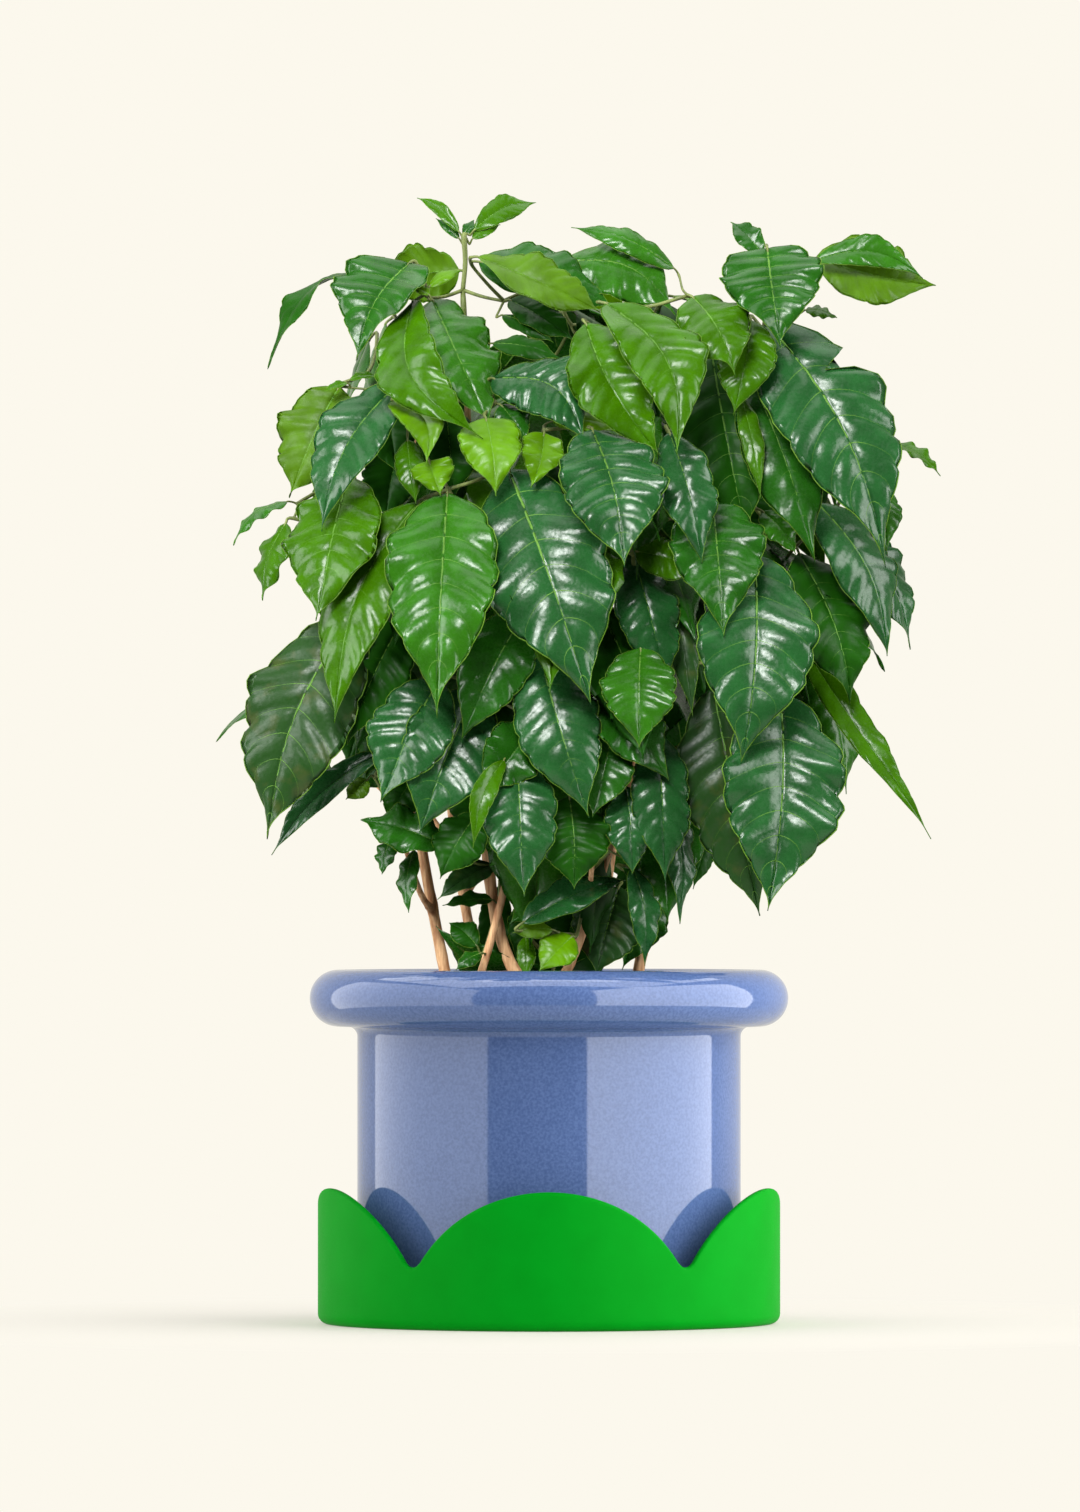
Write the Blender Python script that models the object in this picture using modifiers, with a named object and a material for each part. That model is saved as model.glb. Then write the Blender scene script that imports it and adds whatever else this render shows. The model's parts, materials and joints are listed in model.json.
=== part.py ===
"""Potted coffee plant: a glazed pot with a fat rolled rim, a scalloped saucer, slender stems and leafy masses.

Metres, +Z up. The origin is under the middle of the saucer and the front of the plant faces -Y.
"""

import math
import random
from typing import NamedTuple

import bmesh
import bpy
from mathutils import Matrix, Vector
from mathutils.bvhtree import BVHTree

MM = 0.001
SEED = 7
CLEAR = 0.0003
MERGE = 0.00005

# Saucer: an upright wall cut into five round lobes, in satin green
SAUCER_RADIUS = 0.1386
SAUCER_WALL = 0.004
SAUCER_CORNER = 0.006
SAUCER_STEPS = 70
LOBES = 5
LOBE_PEAK = 0.082
LOBE_NOTCH = 0.037
NOTCH_FILLET = 0.007
SAUCER_EDGE = 0.001

# Pot: a straight body under a rolled rim, in mottled blue glaze
POT_FOOT = SAUCER_WALL + CLEAR
POT_TOP = 0.212
BODY_RADIUS = 0.115
BODY_WALL = 0.008
POT_FLOOR = 0.009
RIM_RADIUS = 0.1435
RIM_TUBE = 0.017
RIM_LIP = 0.019
NECK_FILLET = 0.006
FOOT_FILLET = 0.006
DRAIN_RADIUS = 0.008
POT_STEPS = 40

# Soil
SOIL_TOP = 0.190
SOIL_RADIUS = BODY_RADIUS - BODY_WALL - CLEAR

# Crown
CROWN_FOOT = 0.215
CROWN_BELLY = 0.440
CROWN_TOP = 0.655
CROWN_REACH = 0.190
CROWN_TIERS = 7
# Shells of leaves: where a leaf's foot and tip are as shares of the crown's reach, how many go round
# in a tier, and how far round from the front they start
CROWN_SHELLS = ((0.62, 1.0, 13, math.radians(52)), (0.34, 0.76, 8, 0.0), (0.10, 0.45, 3, 0.0))
LEAF_THICKNESS = 0.0016
FRONT_LEAF_POINTS = 8
RING_LEAF_POINTS = 6
PETIOLE = 0.010
ROOTED = 0.22
DROOP = 0.2
MASS_STEM = 0.012
TWIG_RADIUS = 0.0015
TEST_MARGIN = 0.0006
OLD_BROWN = (0.30, 0.17, 0.09, 1.0)
LEAF_GREEN = (0.035, 0.16, 0.025, 1.0)


class Stem(NamedTuple):
    """A stem from the soil to its tip, with one knee on the way; places in millimetres."""

    name: str
    foot: tuple
    knee: tuple
    tip: tuple
    foot_radius: float
    tip_radius: float


class Bough(NamedTuple):
    """A limb that leaves its stem at a height and ends where its mass of leaves begins; in millimetres."""

    name: str
    stem: str
    leaves_at: float
    tip: tuple


class Leaf(NamedTuple):
    """One leaf: where its blade starts and ends, its width, the way it faces and how far it arches."""

    foot: Vector
    tip: Vector
    width: float
    face: Vector
    arch: float
    rim_points: int


class Mass(NamedTuple):
    """A mass of leaves while it grows: its body, the places that twigs start from, and its blades' trees."""

    body: bpy.types.Object
    forks: list
    blades: list


STEMS = (
    Stem("left", (-60, -12), (-76, -20, 285), (-104, -26, 462), 3.6, 1.9),
    Stem("crossing", (-44, -44), (-25, -48, 268), (18, -56, 470), 2.4, 1.6),
    Stem("front_left", (-15, -30), (-37, -32, 283), (-51, -30, 606), 3.8, 1.6),
    Stem("middle", (-4, 12), (8, 16, 300), (22, -6, 572), 3.4, 1.8),
    Stem("right_lean", (4, -34), (31, -34, 268), (112, -40, 556), 2.9, 1.7),
    Stem("right", (52, -6), (64, -8, 252), (124, 2, 430), 3.6, 1.9),
    Stem("back_left", (-40, 34), (-58, 52, 300), (-76, 84, 510), 3.2, 1.8),
    Stem("back_right", (26, 42), (40, 62, 300), (64, 90, 525), 3.2, 1.8),
)

BOUGHS = (
    Bough("left_crest", "front_left", 470, (-88, -60, 548)),
    Bough("left_front", "left", 330, (-96, -74, 418)),
    Bough("left_side", "left", 300, (-134, 22, 366)),
    Bough("left_skirt", "left", 240, (-86, -52, 286)),
    Bough("centre_left", "front_left", 350, (-42, -92, 452)),
    Bough("centre_low", "crossing", 290, (-14, -86, 352)),
    Bough("centre_right", "right_lean", 330, (50, -92, 446)),
    Bough("front_skirt", "right_lean", 238, (26, -74, 280)),
    Bough("right_crest", "right_lean", 470, (124, -72, 580)),
    Bough("right_front", "right", 300, (106, -72, 388)),
    Bough("right_side", "right", 330, (152, 34, 400)),
    Bough("right_skirt", "right", 240, (98, 22, 296)),
    Bough("back_crest", "middle", 440, (-6, 76, 560)),
    Bough("back_left_low", "back_left", 280, (-92, 96, 350)),
    Bough("back_low", "back_left", 250, (-22, 104, 330)),
    Bough("back_middle", "back_right", 340, (2, 116, 440)),
    Bough("back_right_low", "back_right", 280, (88, 100, 344)),
)

# The leaves that show in front: blade's foot (across, up), its tip (across, up), how far its foot is ahead
# of the stems, its width, and the way its face is turned and lifted, in millimetres and degrees.
FRONT_LEAVES = {
    "high sprig": (
        ((-46, 652), (-8, 671), 30, 15, 20, 50),
        ((-54, 652), (-79, 672), 30, 12, -55, 40),
        ((-54, 647), (-70, 662), 24, 8, -40, 40),
        ((-46, 647), (-28, 658), 36, 9, 20, 40),
    ),
    "left crest": (
        ((-54, 634), (-108, 622), 16, 42, 168, 20),
        ((-110, 632), (-167, 572), 18, 28, -65, 50),
        ((-78, 628), (-115, 579), 62, 46, -25, 40),
        ((-84, 612), (-41, 533), 82, 50, -28, 22),
        ((-72, 613), (-35, 536), 94, 50, 14, 20),
        ((-74, 610), (-52, 620), 74, 9, 0, 40),
    ),
    "centre crest": (
        ((-38, 634), (36, 600), 58, 42, 8, 52),
        ((-43, 634), (26, 589), 76, 32, 165, -40),
        ((6, 636), (76, 602), 66, 44, 8, 50),
        ((-38, 580), (22, 528), 90, 46, 6, 42),
        ((76, 633), (13, 658), 58, 20, 10, 55),
        ((22, 598), (67, 519), 92, 52, 2, 22),
        ((30, 606), (79, 525), 108, 58, 14, 30),
    ),
    "right crest": (
        ((88, 612), (113, 565), 98, 46, 0, 38),
        ((127, 603), (110, 547), 86, 42, -12, 22),
        ((120, 645), (139, 586), 84, 62, 0, 38),
        ((128, 642), (110, 660), 50, 22, 0, 30),
        ((158, 641), (228, 617), 56, 32, 12, 55),
        ((160, 637), (232, 624), 40, 46, 165, 12),
        ((152, 610), (174, 606), 40, 12, 20, 50),
    ),
    "right flank": (
        ((128, 598), (202, 464), 72, 74, 22, 20),
        ((120, 570), (160, 458), 70, 46, 8, 18),
        ((98, 580), (119, 470), 56, 60, 0, 14),
        ((103, 486), (106, 414), 82, 54, 4, 20),
        ((122, 464), (116, 338), 96, 72, 8, 14),
        ((150, 462), (183, 372), 50, 50, 25, 15),
        ((164, 486), (203, 398), 62, 34, 50, 25),
        ((175, 478), (217, 404), 44, 30, 55, 30),
        ((206, 528), (235, 508), 4, 14, 30, 50),
        ((137, 376), (131, 247), 88, 72, 8, 10),
        ((98, 380), (127, 246), 60, 56, -12, 8),
        ((152, 398), (230, 292), 32, 38, 70, 30),
        ((168, 376), (175, 317), 18, 34, 30, 15),
    ),
    "centre": (
        ((-61, 498), (-68, 365), 112, 66, -6, 20),
        ((-24, 510), (26, 376), 104, 78, 10, 18),
        ((26, 536), (46, 454), 114, 64, 8, 26),
        ((72, 534), (92, 457), 96, 36, 6, 16),
        ((58, 475), (94, 447), 106, 28, 10, 25),
        ((50, 464), (72, 379), 90, 38, 15, 14),
        ((55, 405), (55, 345), 104, 46, 0, 16),
        ((22, 382), (74, 325), 96, 38, 15, 16),
        ((-90, 554), (-74, 515), 94, 30, -4, 24),
        ((-72, 519), (-65, 496), 106, 28, 0, 32),
        ((-40, 546), (-32, 497), 112, 40, 0, 20),
        ((-4, 537), (-11, 502), 112, 28, 4, 20),
    ),
    "left flank": (
        ((-78, 493), (-128, 359), 96, 58, -26, 16),
        ((-120, 508), (-136, 418), 84, 62, -30, 26),
        ((-88, 566), (-137, 481), 90, 44, -24, 26),
        ((-126, 562), (-158, 494), 46, 50, 160, 12),
        ((-154, 495), (-190, 467), 16, 18, -50, 50),
        ((-158, 480), (-172, 433), 32, 30, -50, 14),
        ((-124, 422), (-169, 292), 80, 66, -22, 12),
        ((-88, 422), (-122, 347), 78, 42, -10, 10),
        ((-56, 384), (-100, 313), 98, 52, -10, 14),
        ((-44, 378), (-80, 292), 86, 54, 10, 12),
        ((-96, 346), (-169, 279), 50, 30, -20, 40),
        ((-130, 386), (-201, 350), 10, 26, -60, 50),
    ),
    "skirt": (
        ((-12, 430), (-55, 347), 90, 48, 4, 14),
        ((-62, 300), (-115, 303), 80, 42, -8, 40),
        ((-86, 296), (-100, 269), 58, 24, -30, 14),
        ((-72, 286), (-86, 247), 50, 26, -30, 14),
        ((-42, 308), (-67, 262), 84, 42, -12, 14),
        ((-14, 356), (-43, 285), 104, 34, 15, 12),
        ((-20, 346), (-16, 255), 98, 48, 4, 12),
        ((-6, 404), (24, 302), 94, 50, 4, 14),
        ((16, 320), (13, 259), 86, 52, 0, 10),
        ((38, 354), (26, 303), 92, 34, 0, 12),
        ((48, 326), (50, 269), 86, 36, 6, 10),
        ((70, 322), (81, 239), 60, 28, 55, 8),
        ((52, 278), (55, 220), 70, 26, 20, 6),
        ((46, 264), (-17, 245), 78, 28, 0, 40),
        ((-35, 276), (-67, 257), 48, 22, 0, 40),
    ),
}


def empty_the_scene():
    """Removes every object, so that only the plant is left."""
    for obj in list(bpy.data.objects):
        bpy.data.objects.remove(obj)


def new_collection(name):
    """A collection linked to the scene."""
    collection = bpy.data.collections.new(name)
    bpy.context.scene.collection.children.link(collection)
    return collection


def finish(name, colour, roughness, metallic=0.0):
    """A plain Principled material."""
    material = bpy.data.materials.new(name)
    material.use_nodes = True
    shader = material.node_tree.nodes["Principled BSDF"]
    shader.inputs["Base Color"].default_value = colour
    shader.inputs["Roughness"].default_value = roughness
    shader.inputs["Metallic"].default_value = metallic
    return material


def object_of(name, data, material, collection):
    """A new object in a collection, with its material."""
    obj = bpy.data.objects.new(name, data)
    collection.objects.link(obj)
    if material:
        data.materials.append(material)
    return obj


def arc(across, up, radius, start, end, count):
    """Points on a circular arc, in degrees from +X, both ends included."""
    turn = [math.radians(start + (end - start) * k / (count - 1)) for k in range(count)]
    return [(across + radius * math.cos(a), up + radius * math.sin(a)) for a in turn]


def turned(name, outline, material, collection, closed):
    """A solid of revolution about Z from an outline of (radius, height), with a Screw modifier."""
    mesh = bpy.data.meshes.new(name)
    edges = [(k, k + 1) for k in range(len(outline) - 1)]
    if closed:
        edges.append((len(outline) - 1, 0))
    mesh.from_pydata([(r, 0.0, z) for r, z in outline], edges, [])
    obj = object_of(name, mesh, material, collection)
    screw = obj.modifiers.new("Turn", "SCREW")
    screw.steps = POT_STEPS
    screw.render_steps = POT_STEPS
    screw.use_merge_vertices = True
    screw.merge_threshold = MERGE
    return obj


def scallop_height(angle):
    """Height of the saucer's edge: one circle's arc for each lobe on the unrolled wall, notches filleted."""
    pitch = 2 * math.pi / LOBES
    half = SAUCER_RADIUS * pitch / 2
    rise = LOBE_PEAK - LOBE_NOTCH
    both = (half * half + rise * rise) / (2 * rise)
    lobe_radius = both - NOTCH_FILLET
    along = abs((angle + pitch / 2) % pitch - pitch / 2) * SAUCER_RADIUS
    to_notch = half - along
    if to_notch < half * NOTCH_FILLET / both:
        return LOBE_NOTCH + NOTCH_FILLET - math.sqrt(NOTCH_FILLET**2 - to_notch**2)
    return LOBE_PEAK - lobe_radius + math.sqrt(lobe_radius**2 - along**2)


def saucer(collection):
    """The saucer: a floor and a scalloped wall as one open surface, thickened inwards, with its edges broken."""
    bm = bmesh.new()
    floor_radius = SAUCER_RADIUS - SAUCER_CORNER
    bmesh.ops.create_circle(bm, cap_ends=True, segments=SAUCER_STEPS, radius=floor_radius)
    for face in bm.faces:
        face.normal_flip()
    corner = arc(floor_radius, SAUCER_CORNER, SAUCER_CORNER, -45, 0, 2)
    ring = [edge for edge in bm.edges if edge.is_boundary]
    for radius, height in [*corner, (SAUCER_RADIUS, None)]:
        grown = bmesh.ops.extrude_edge_only(bm, edges=ring)["geom"]
        ring = [item for item in grown if isinstance(item, bmesh.types.BMEdge)]
        for vert in [item for item in grown if isinstance(item, bmesh.types.BMVert)]:
            angle = math.atan2(vert.co.x, -vert.co.y)
            z = scallop_height(angle) if height is None else height
            vert.co = (radius * math.sin(angle), -radius * math.cos(angle), z)
    bmesh.ops.recalc_face_normals(bm, faces=bm.faces)
    mesh = bpy.data.meshes.new("saucer")
    bm.to_mesh(mesh)
    bm.free()
    mesh.shade_smooth()
    mesh.set_sharp_from_angle(angle=math.radians(40))
    obj = object_of("saucer", mesh, finish("saucer green", (0.0, 0.42, 0.02, 1.0), 0.45), collection)
    shell = obj.modifiers.new("Wall", "SOLIDIFY")
    shell.thickness = SAUCER_WALL
    shell.offset = -1
    shell.use_even_offset = True
    edge = obj.modifiers.new("Edge", "BEVEL")
    edge.width = SAUCER_EDGE
    edge.segments = 1
    edge.limit_method = "ANGLE"
    edge.angle_limit = math.radians(60)
    return obj


def pot(collection):
    """The pot: body, rolled rim and drain hole turned from one closed outline."""
    inner = BODY_RADIUS - BODY_WALL
    rim_middle = RIM_RADIUS - RIM_TUBE
    lip = arc(rim_middle, POT_TOP - RIM_LIP, RIM_LIP, 180, 90, 5)
    roll = arc(rim_middle, POT_TOP - RIM_TUBE, RIM_TUBE, 90, -90, 9)[1:]
    under_rim = POT_TOP - 2 * RIM_TUBE
    neck = arc(BODY_RADIUS + NECK_FILLET, under_rim - NECK_FILLET, NECK_FILLET, 90, 180, 3)
    foot = arc(BODY_RADIUS - FOOT_FILLET, POT_FOOT + FOOT_FILLET, FOOT_FILLET, 0, -90, 3)
    floor = POT_FOOT + POT_FLOOR
    hole = [(DRAIN_RADIUS, POT_FOOT), (DRAIN_RADIUS, floor)]
    hollow = arc(inner - FOOT_FILLET, floor + FOOT_FILLET, FOOT_FILLET, -90, 0, 3)
    outline = [*lip, *roll, *neck, *foot, *hole, *hollow]
    obj = turned("pot", outline, finish("pot glaze", (0.22, 0.31, 0.56, 1.0), 0.15), collection, True)
    obj.data.shade_smooth()
    return obj


def soil(collection):
    """The soil that fills the pot, clear of its walls."""
    floor = POT_FOOT + POT_FLOOR + CLEAR
    corner = FOOT_FILLET + 0.002
    outline = [
        (0.0, SOIL_TOP),
        (SOIL_RADIUS, SOIL_TOP),
        (SOIL_RADIUS, floor + corner),
        (SOIL_RADIUS - corner, floor),
        (0.0, floor),
    ]
    return turned("soil", outline, finish("soil brown", (0.05, 0.03, 0.02, 1.0), 0.95), collection, False)


def smooth_path(marks, per_span):
    """A Catmull-Rom curve through the marks, with per_span points on each span."""
    marks = [Vector(m) for m in marks]
    ends = [2 * marks[0] - marks[1], *marks, 2 * marks[-1] - marks[-2]]
    path = []
    for before, start, end, after in zip(ends, ends[1:], ends[2:], ends[3:]):
        for k in range(per_span):
            t = k / per_span
            path.append(
                0.5
                * (
                    2 * start
                    + (end - before) * t
                    + (2 * before - 5 * start + 4 * end - after) * t**2
                    + (3 * start - before - 3 * end + after) * t**3
                )
            )
    return [*path, marks[-1]]


def tube(name, path, radii, material, collection, sides=1):
    """A tapered tube along a path, as a curve with filled caps."""
    data = bpy.data.curves.new(name, "CURVE")
    data.dimensions = "3D"
    data.bevel_depth = max(radii)
    data.bevel_resolution = sides
    data.use_fill_caps = True
    spline = data.splines.new("POLY")
    spline.points.add(len(path) - 1)
    for point, place, radius in zip(spline.points, path, radii):
        point.co = (*place, 1.0)
        point.radius = radius / data.bevel_depth
    return object_of(name, data, material, collection)


def triangle_profile():
    """A closed three-sided outline of unit radius, swept along twigs."""
    data = bpy.data.curves.new("twig_section", "CURVE")
    data.dimensions = "2D"
    spline = data.splines.new("POLY")
    spline.points.add(2)
    for k, point in enumerate(spline.points):
        angle = 2 * math.pi * k / 3
        point.co = (math.cos(angle), math.sin(angle), 0.0, 1.0)
    spline.use_cyclic_u = True
    section = bpy.data.objects.new("twig_section", data)
    bpy.context.scene.collection.objects.link(section)
    return section


def face_outwards(bm):
    """Turns a closed mesh's faces so that they all point out of it."""
    bmesh.ops.recalc_face_normals(bm, faces=bm.faces)
    if bm.calc_volume(signed=True) < 0:
        bmesh.ops.reverse_faces(bm, faces=bm.faces)


def as_mesh(curve_object, collection):
    """Makes a curve object a welded mesh of the same name and place, and removes the curve."""
    graph = bpy.context.evaluated_depsgraph_get()
    mesh = bpy.data.meshes.new_from_object(curve_object.evaluated_get(graph))
    bm = bmesh.new()
    bm.from_mesh(mesh)
    bmesh.ops.remove_doubles(bm, verts=bm.verts, dist=MERGE)
    face_outwards(bm)
    bm.to_mesh(mesh)
    bm.free()
    obj = bpy.data.objects.new(curve_object.name + "_mesh", mesh)
    obj.matrix_world = curve_object.matrix_world
    collection.objects.link(obj)
    bpy.data.objects.remove(curve_object)
    return obj


def twig(path, radius, section, collection):
    """A thin three-sided tube along a path, as a closed mesh."""
    data = bpy.data.curves.new("twig", "CURVE")
    data.dimensions = "3D"
    data.bevel_mode = "OBJECT"
    data.bevel_object = section
    data.use_fill_caps = True
    spline = data.splines.new("POLY")
    spline.points.add(len(path) - 1)
    for k, (point, place) in enumerate(zip(spline.points, path)):
        point.co = (*place, 1.0)
        point.radius = radius * (1.0 - 0.25 * k / (len(path) - 1))
    curve = bpy.data.objects.new("twig", data)
    collection.objects.link(curve)
    return as_mesh(curve, collection)


def tree_of(obj):
    """A search tree of an object's evaluated faces."""
    graph = bpy.context.evaluated_depsgraph_get()
    return BVHTree.FromObject(obj, graph)


def half_width(share):
    """Half the blade's width at a share of its length, as a part of the full width: widest before the middle."""
    return 0.5 * math.sin(math.pi * share**0.85) ** 0.8 if 0 < share < 1 else 0.0


def blade_point(leaf, along, across, lift=0.0):
    """A point on the blade: along its length from 0 to 1 and across it from -1 to 1, lifted off its face."""
    chord = leaf.tip - leaf.foot
    line = chord.normalized()
    face = (leaf.face - leaf.face.dot(line) * line).normalized()
    side = line.cross(face)
    bow = leaf.arch * chord.length * math.sin(math.pi * along) * face
    spread = half_width(along) * leaf.width * across
    droop = DROOP * abs(spread)
    return leaf.foot + chord * along + bow + side * spread + face * (lift - droop)


def leaf_solid(leaf, collection, thickness=LEAF_THICKNESS, grow=1.0):
    """A leaf as a closed lens: a flattened sphere primitive whose rim follows the blade's outline."""
    bm = bmesh.new()
    bmesh.ops.create_uvsphere(bm, u_segments=leaf.rim_points, v_segments=2, radius=1.0)
    for vert in bm.verts:
        if abs(vert.co.z) > 0.5:
            vert.co = blade_point(leaf, 0.5, 0.0, math.copysign(thickness / 2, vert.co.z))
        else:
            angle = math.atan2(vert.co.y, vert.co.x)
            vert.co = blade_point(leaf, (1 - math.cos(angle)) / 2, math.copysign(grow, math.sin(angle)))
    face_outwards(bm)
    mesh = bpy.data.meshes.new("leaf")
    bm.to_mesh(mesh)
    bm.free()
    obj = bpy.data.objects.new("leaf", mesh)
    collection.objects.link(obj)
    return obj


def facing(turn, lift):
    """A unit vector that faces the front, turned to the right and lifted, in degrees."""
    a, b = math.radians(turn), math.radians(lift)
    return Vector((math.sin(a) * math.cos(b), -math.cos(a) * math.cos(b), math.sin(b)))


def front_leaves():
    """The leaves that show in front. A tip's depth follows from the way the blade faces."""
    leaves = []
    for region in FRONT_LEAVES.values():
        for foot, tip, ahead, width, turn, lift in region:
            a, b = math.radians(turn), math.radians(lift)
            step = Vector((tip[0] - foot[0], tip[1] - foot[1]))
            depth = step.x * math.tan(a) + step.y * math.tan(b) / math.cos(a)
            depth = max(-0.5 * step.length, min(0.5 * step.length, depth))
            start = Vector((foot[0], -ahead, foot[1])) * MM
            end = Vector((tip[0], -ahead + depth, tip[1])) * MM
            leaves.append(Leaf(start, end, width * MM, facing(turn, lift), 0.10, FRONT_LEAF_POINTS))
    return leaves


def crown_reach(height):
    """How far the crown reaches from its middle at a height."""
    half = CROWN_TOP - CROWN_BELLY if height > CROWN_BELLY else CROWN_BELLY - CROWN_FOOT
    share = min(1.0, abs(height - CROWN_BELLY) / half)
    return CROWN_REACH * (1.0 - share**2.6) ** 0.5


def ring_leaf(azimuth, height, foot_share, tip_share, length, rng):
    """A leaf that hangs outwards on one of the crown's shells, its azimuth counted from the front."""
    sway = azimuth + rng.uniform(-0.25, 0.25)
    reach = crown_reach(height)
    low = max(CROWN_FOOT + 0.012, height - length * rng.uniform(0.72, 0.9))
    out = max(0.055, crown_reach(low)) * tip_share
    foot = Vector((math.sin(azimuth), -math.cos(azimuth), 0)) * reach * foot_share
    tip = Vector((math.sin(sway), -math.cos(sway), 0)) * max(out, reach * foot_share * 0.9)
    foot.z, tip.z = height, low
    tip = foot + (tip - foot).normalized() * length
    face = facing(math.degrees(azimuth) + rng.uniform(-25, 25), rng.uniform(12, 35))
    return Leaf(foot, tip, length * rng.uniform(0.44, 0.54), face, 0.12, RING_LEAF_POINTS)


def ring_leaves(rng):
    """Leaves of the crown's sides, back and heart, tier by tier from the crest to the skirt."""
    leaves = []
    drop = (CROWN_TOP - CROWN_FOOT - 0.085) / (CROWN_TIERS - 1)
    for tier in range(CROWN_TIERS):
        height = CROWN_TOP - 0.035 - drop * tier
        for foot_share, tip_share, count, sector in CROWN_SHELLS:
            for k in range(count):
                azimuth = 2 * math.pi * (k + 0.5 * (tier % 2)) / count + rng.uniform(-0.12, 0.12)
                azimuth = (azimuth + math.pi) % (2 * math.pi) - math.pi
                length = rng.uniform(0.100, 0.142) * (0.75 if tier == 0 else 1.0)
                up = height + rng.uniform(-0.012, 0.012)
                leaf = ring_leaf(azimuth, up, foot_share, tip_share, length, rng)
                if abs(azimuth) >= sector:
                    leaves.append(leaf)
    return leaves


def stem_paths():
    """Each stem's centre line, upright where it leaves the soil."""
    paths = {}
    for stem in STEMS:
        ground = SOIL_TOP / MM + CLEAR / MM
        marks = [(*stem.foot, ground), (*stem.foot, ground + 8), stem.knee, stem.tip]
        path = smooth_path([Vector(m) * MM for m in marks], 4)
        paths[stem.name] = [path[0], *path[4:]]
    return paths


def taper(count, foot, tip, flare):
    """Radii from a limb's foot to its tip, the first one flared."""
    radii = [(foot + (tip - foot) * k / (count - 1)) * MM for k in range(count)]
    radii[0] *= flare
    return radii


def build_stems(bark, collection):
    """Every stem as a tapered tube with a root flare. Returns the objects, the paths and the radii by name."""
    made = {}
    for stem in STEMS:
        path = stem_paths()[stem.name]
        radii = taper(len(path), stem.foot_radius, stem.tip_radius, 1.45)
        made[stem.name] = (tube("stem_" + stem.name, path, radii, bark, collection), path, radii)
    return made


def place_at_height(path, height):
    """Index of the path's first point above a height, and the point on the path at that height."""
    for k in range(1, len(path)):
        if path[k].z >= height:
            share = (height - path[k - 1].z) / (path[k].z - path[k - 1].z)
            return k, path[k - 1].lerp(path[k], share)
    return len(path) - 1, path[-1]


def bough_path(bough, stem_path, stem_radii, radius, rng, sway):
    """A bough's centre line: out of its stem with a clear cap, then up and out to its tip."""
    index, origin = place_at_height(stem_path, bough.leaves_at * MM)
    tip = Vector(bough.tip) * MM
    up = (stem_path[index] - stem_path[index - 1]).normalized()
    outward = tip - origin
    heading = (outward.normalized() + 0.35 * up).normalized()
    angle = up.angle(heading)
    gap = (stem_radii[index - 1] + CLEAR + radius * math.cos(angle)) / math.sin(angle)
    start = origin + heading * gap
    bend = Vector((rng.uniform(-1, 1), rng.uniform(-1, 1), rng.uniform(-0.4, 1))) * sway
    middle = start + (tip - start) * 0.5 - Vector((0, 0, 1)) * outward.length * 0.07 + bend
    first = start + heading * 0.006
    return smooth_path([start, first, middle, tip], 2)


def build_boughs(stems, bark, collection):
    """Every bough, bent aside by the seeded rule until it clears the other limbs."""
    rng = random.Random(SEED)
    made = {}
    trees = {name: tree_of(entry[0]) for name, entry in stems.items()}
    for bough in BOUGHS:
        _, stem_path, stem_radii = stems[bough.stem]
        index, _ = place_at_height(stem_path, bough.leaves_at * MM)
        foot_radius = 0.8 * stem_radii[index - 1]
        for attempt in range(24):
            path = bough_path(bough, stem_path, stem_radii, foot_radius, rng, 0.0012 * attempt)
            radii = taper(len(path), foot_radius / MM, 1.4, 1.0)
            limb = tube("bough_" + bough.name, path, radii, bark, collection)
            tested = tube("test", path, [r + TEST_MARGIN / 2 for r in radii], bark, collection)
            own = tree_of(limb)
            others = [tree for name, tree in trees.items() if name != bough.stem]
            wide = tree_of(tested)
            bpy.data.objects.remove(tested)
            if not any(wide.overlap(tree) for tree in others) and not own.overlap(trees[bough.stem]):
                break
            bpy.data.objects.remove(limb)
        else:
            raise ValueError(f"bough {bough.name} can't clear its neighbours")
        trees["bough " + bough.name] = own
        made[bough.name] = (limb, path, radii)
    return made, trees


def mass_roots(stems, boughs):
    """Where each mass of leaves begins: the tip and heading of its stem or bough, by the mass's name."""
    roots = {}
    for stem in STEMS:
        path = stems[stem.name][1]
        roots[stem.name + "_top"] = (path[-1], (path[-1] - path[-2]).normalized(), stem.tip_radius * MM)
    for bough in BOUGHS:
        path = boughs[bough.name][1]
        roots[bough.name] = (path[-1], (path[-1] - path[-2]).normalized(), 1.4 * MM)
    return roots


def nearest_mass(leaf, roots):
    """The mass that a leaf belongs to: its root is near the leaf's foot, and preferably below it."""

    def cost(name):
        way = leaf.foot - roots[name][0]
        return way.length + 0.8 * max(0.0, -way.z)

    return min(roots, key=cost)


def twig_path(start, leaf, depth=ROOTED):
    """A twig's line: up and over from its start to the leaf's foot, then some way into the blade."""
    way = leaf.foot - start
    rooted = leaf.foot.lerp(blade_point(leaf, 0.5, 0.0), depth)
    heading = (rooted - leaf.foot).normalized()
    petiole = leaf.foot - heading * min(PETIOLE, 0.4 * way.length)
    middle = start.lerp(petiole, 0.5) + Vector((0, 0, 1)) * way.length * 0.08
    return [start, middle, petiole, rooted]


def stays_above_rim(leaf):
    """True if the whole blade stays above the pot's rim."""
    points = [blade_point(leaf, k / 8, side) for k in range(9) for side in (-1, 0, 1)]
    return min(p.z for p in points) > POT_TOP + 0.003


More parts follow.
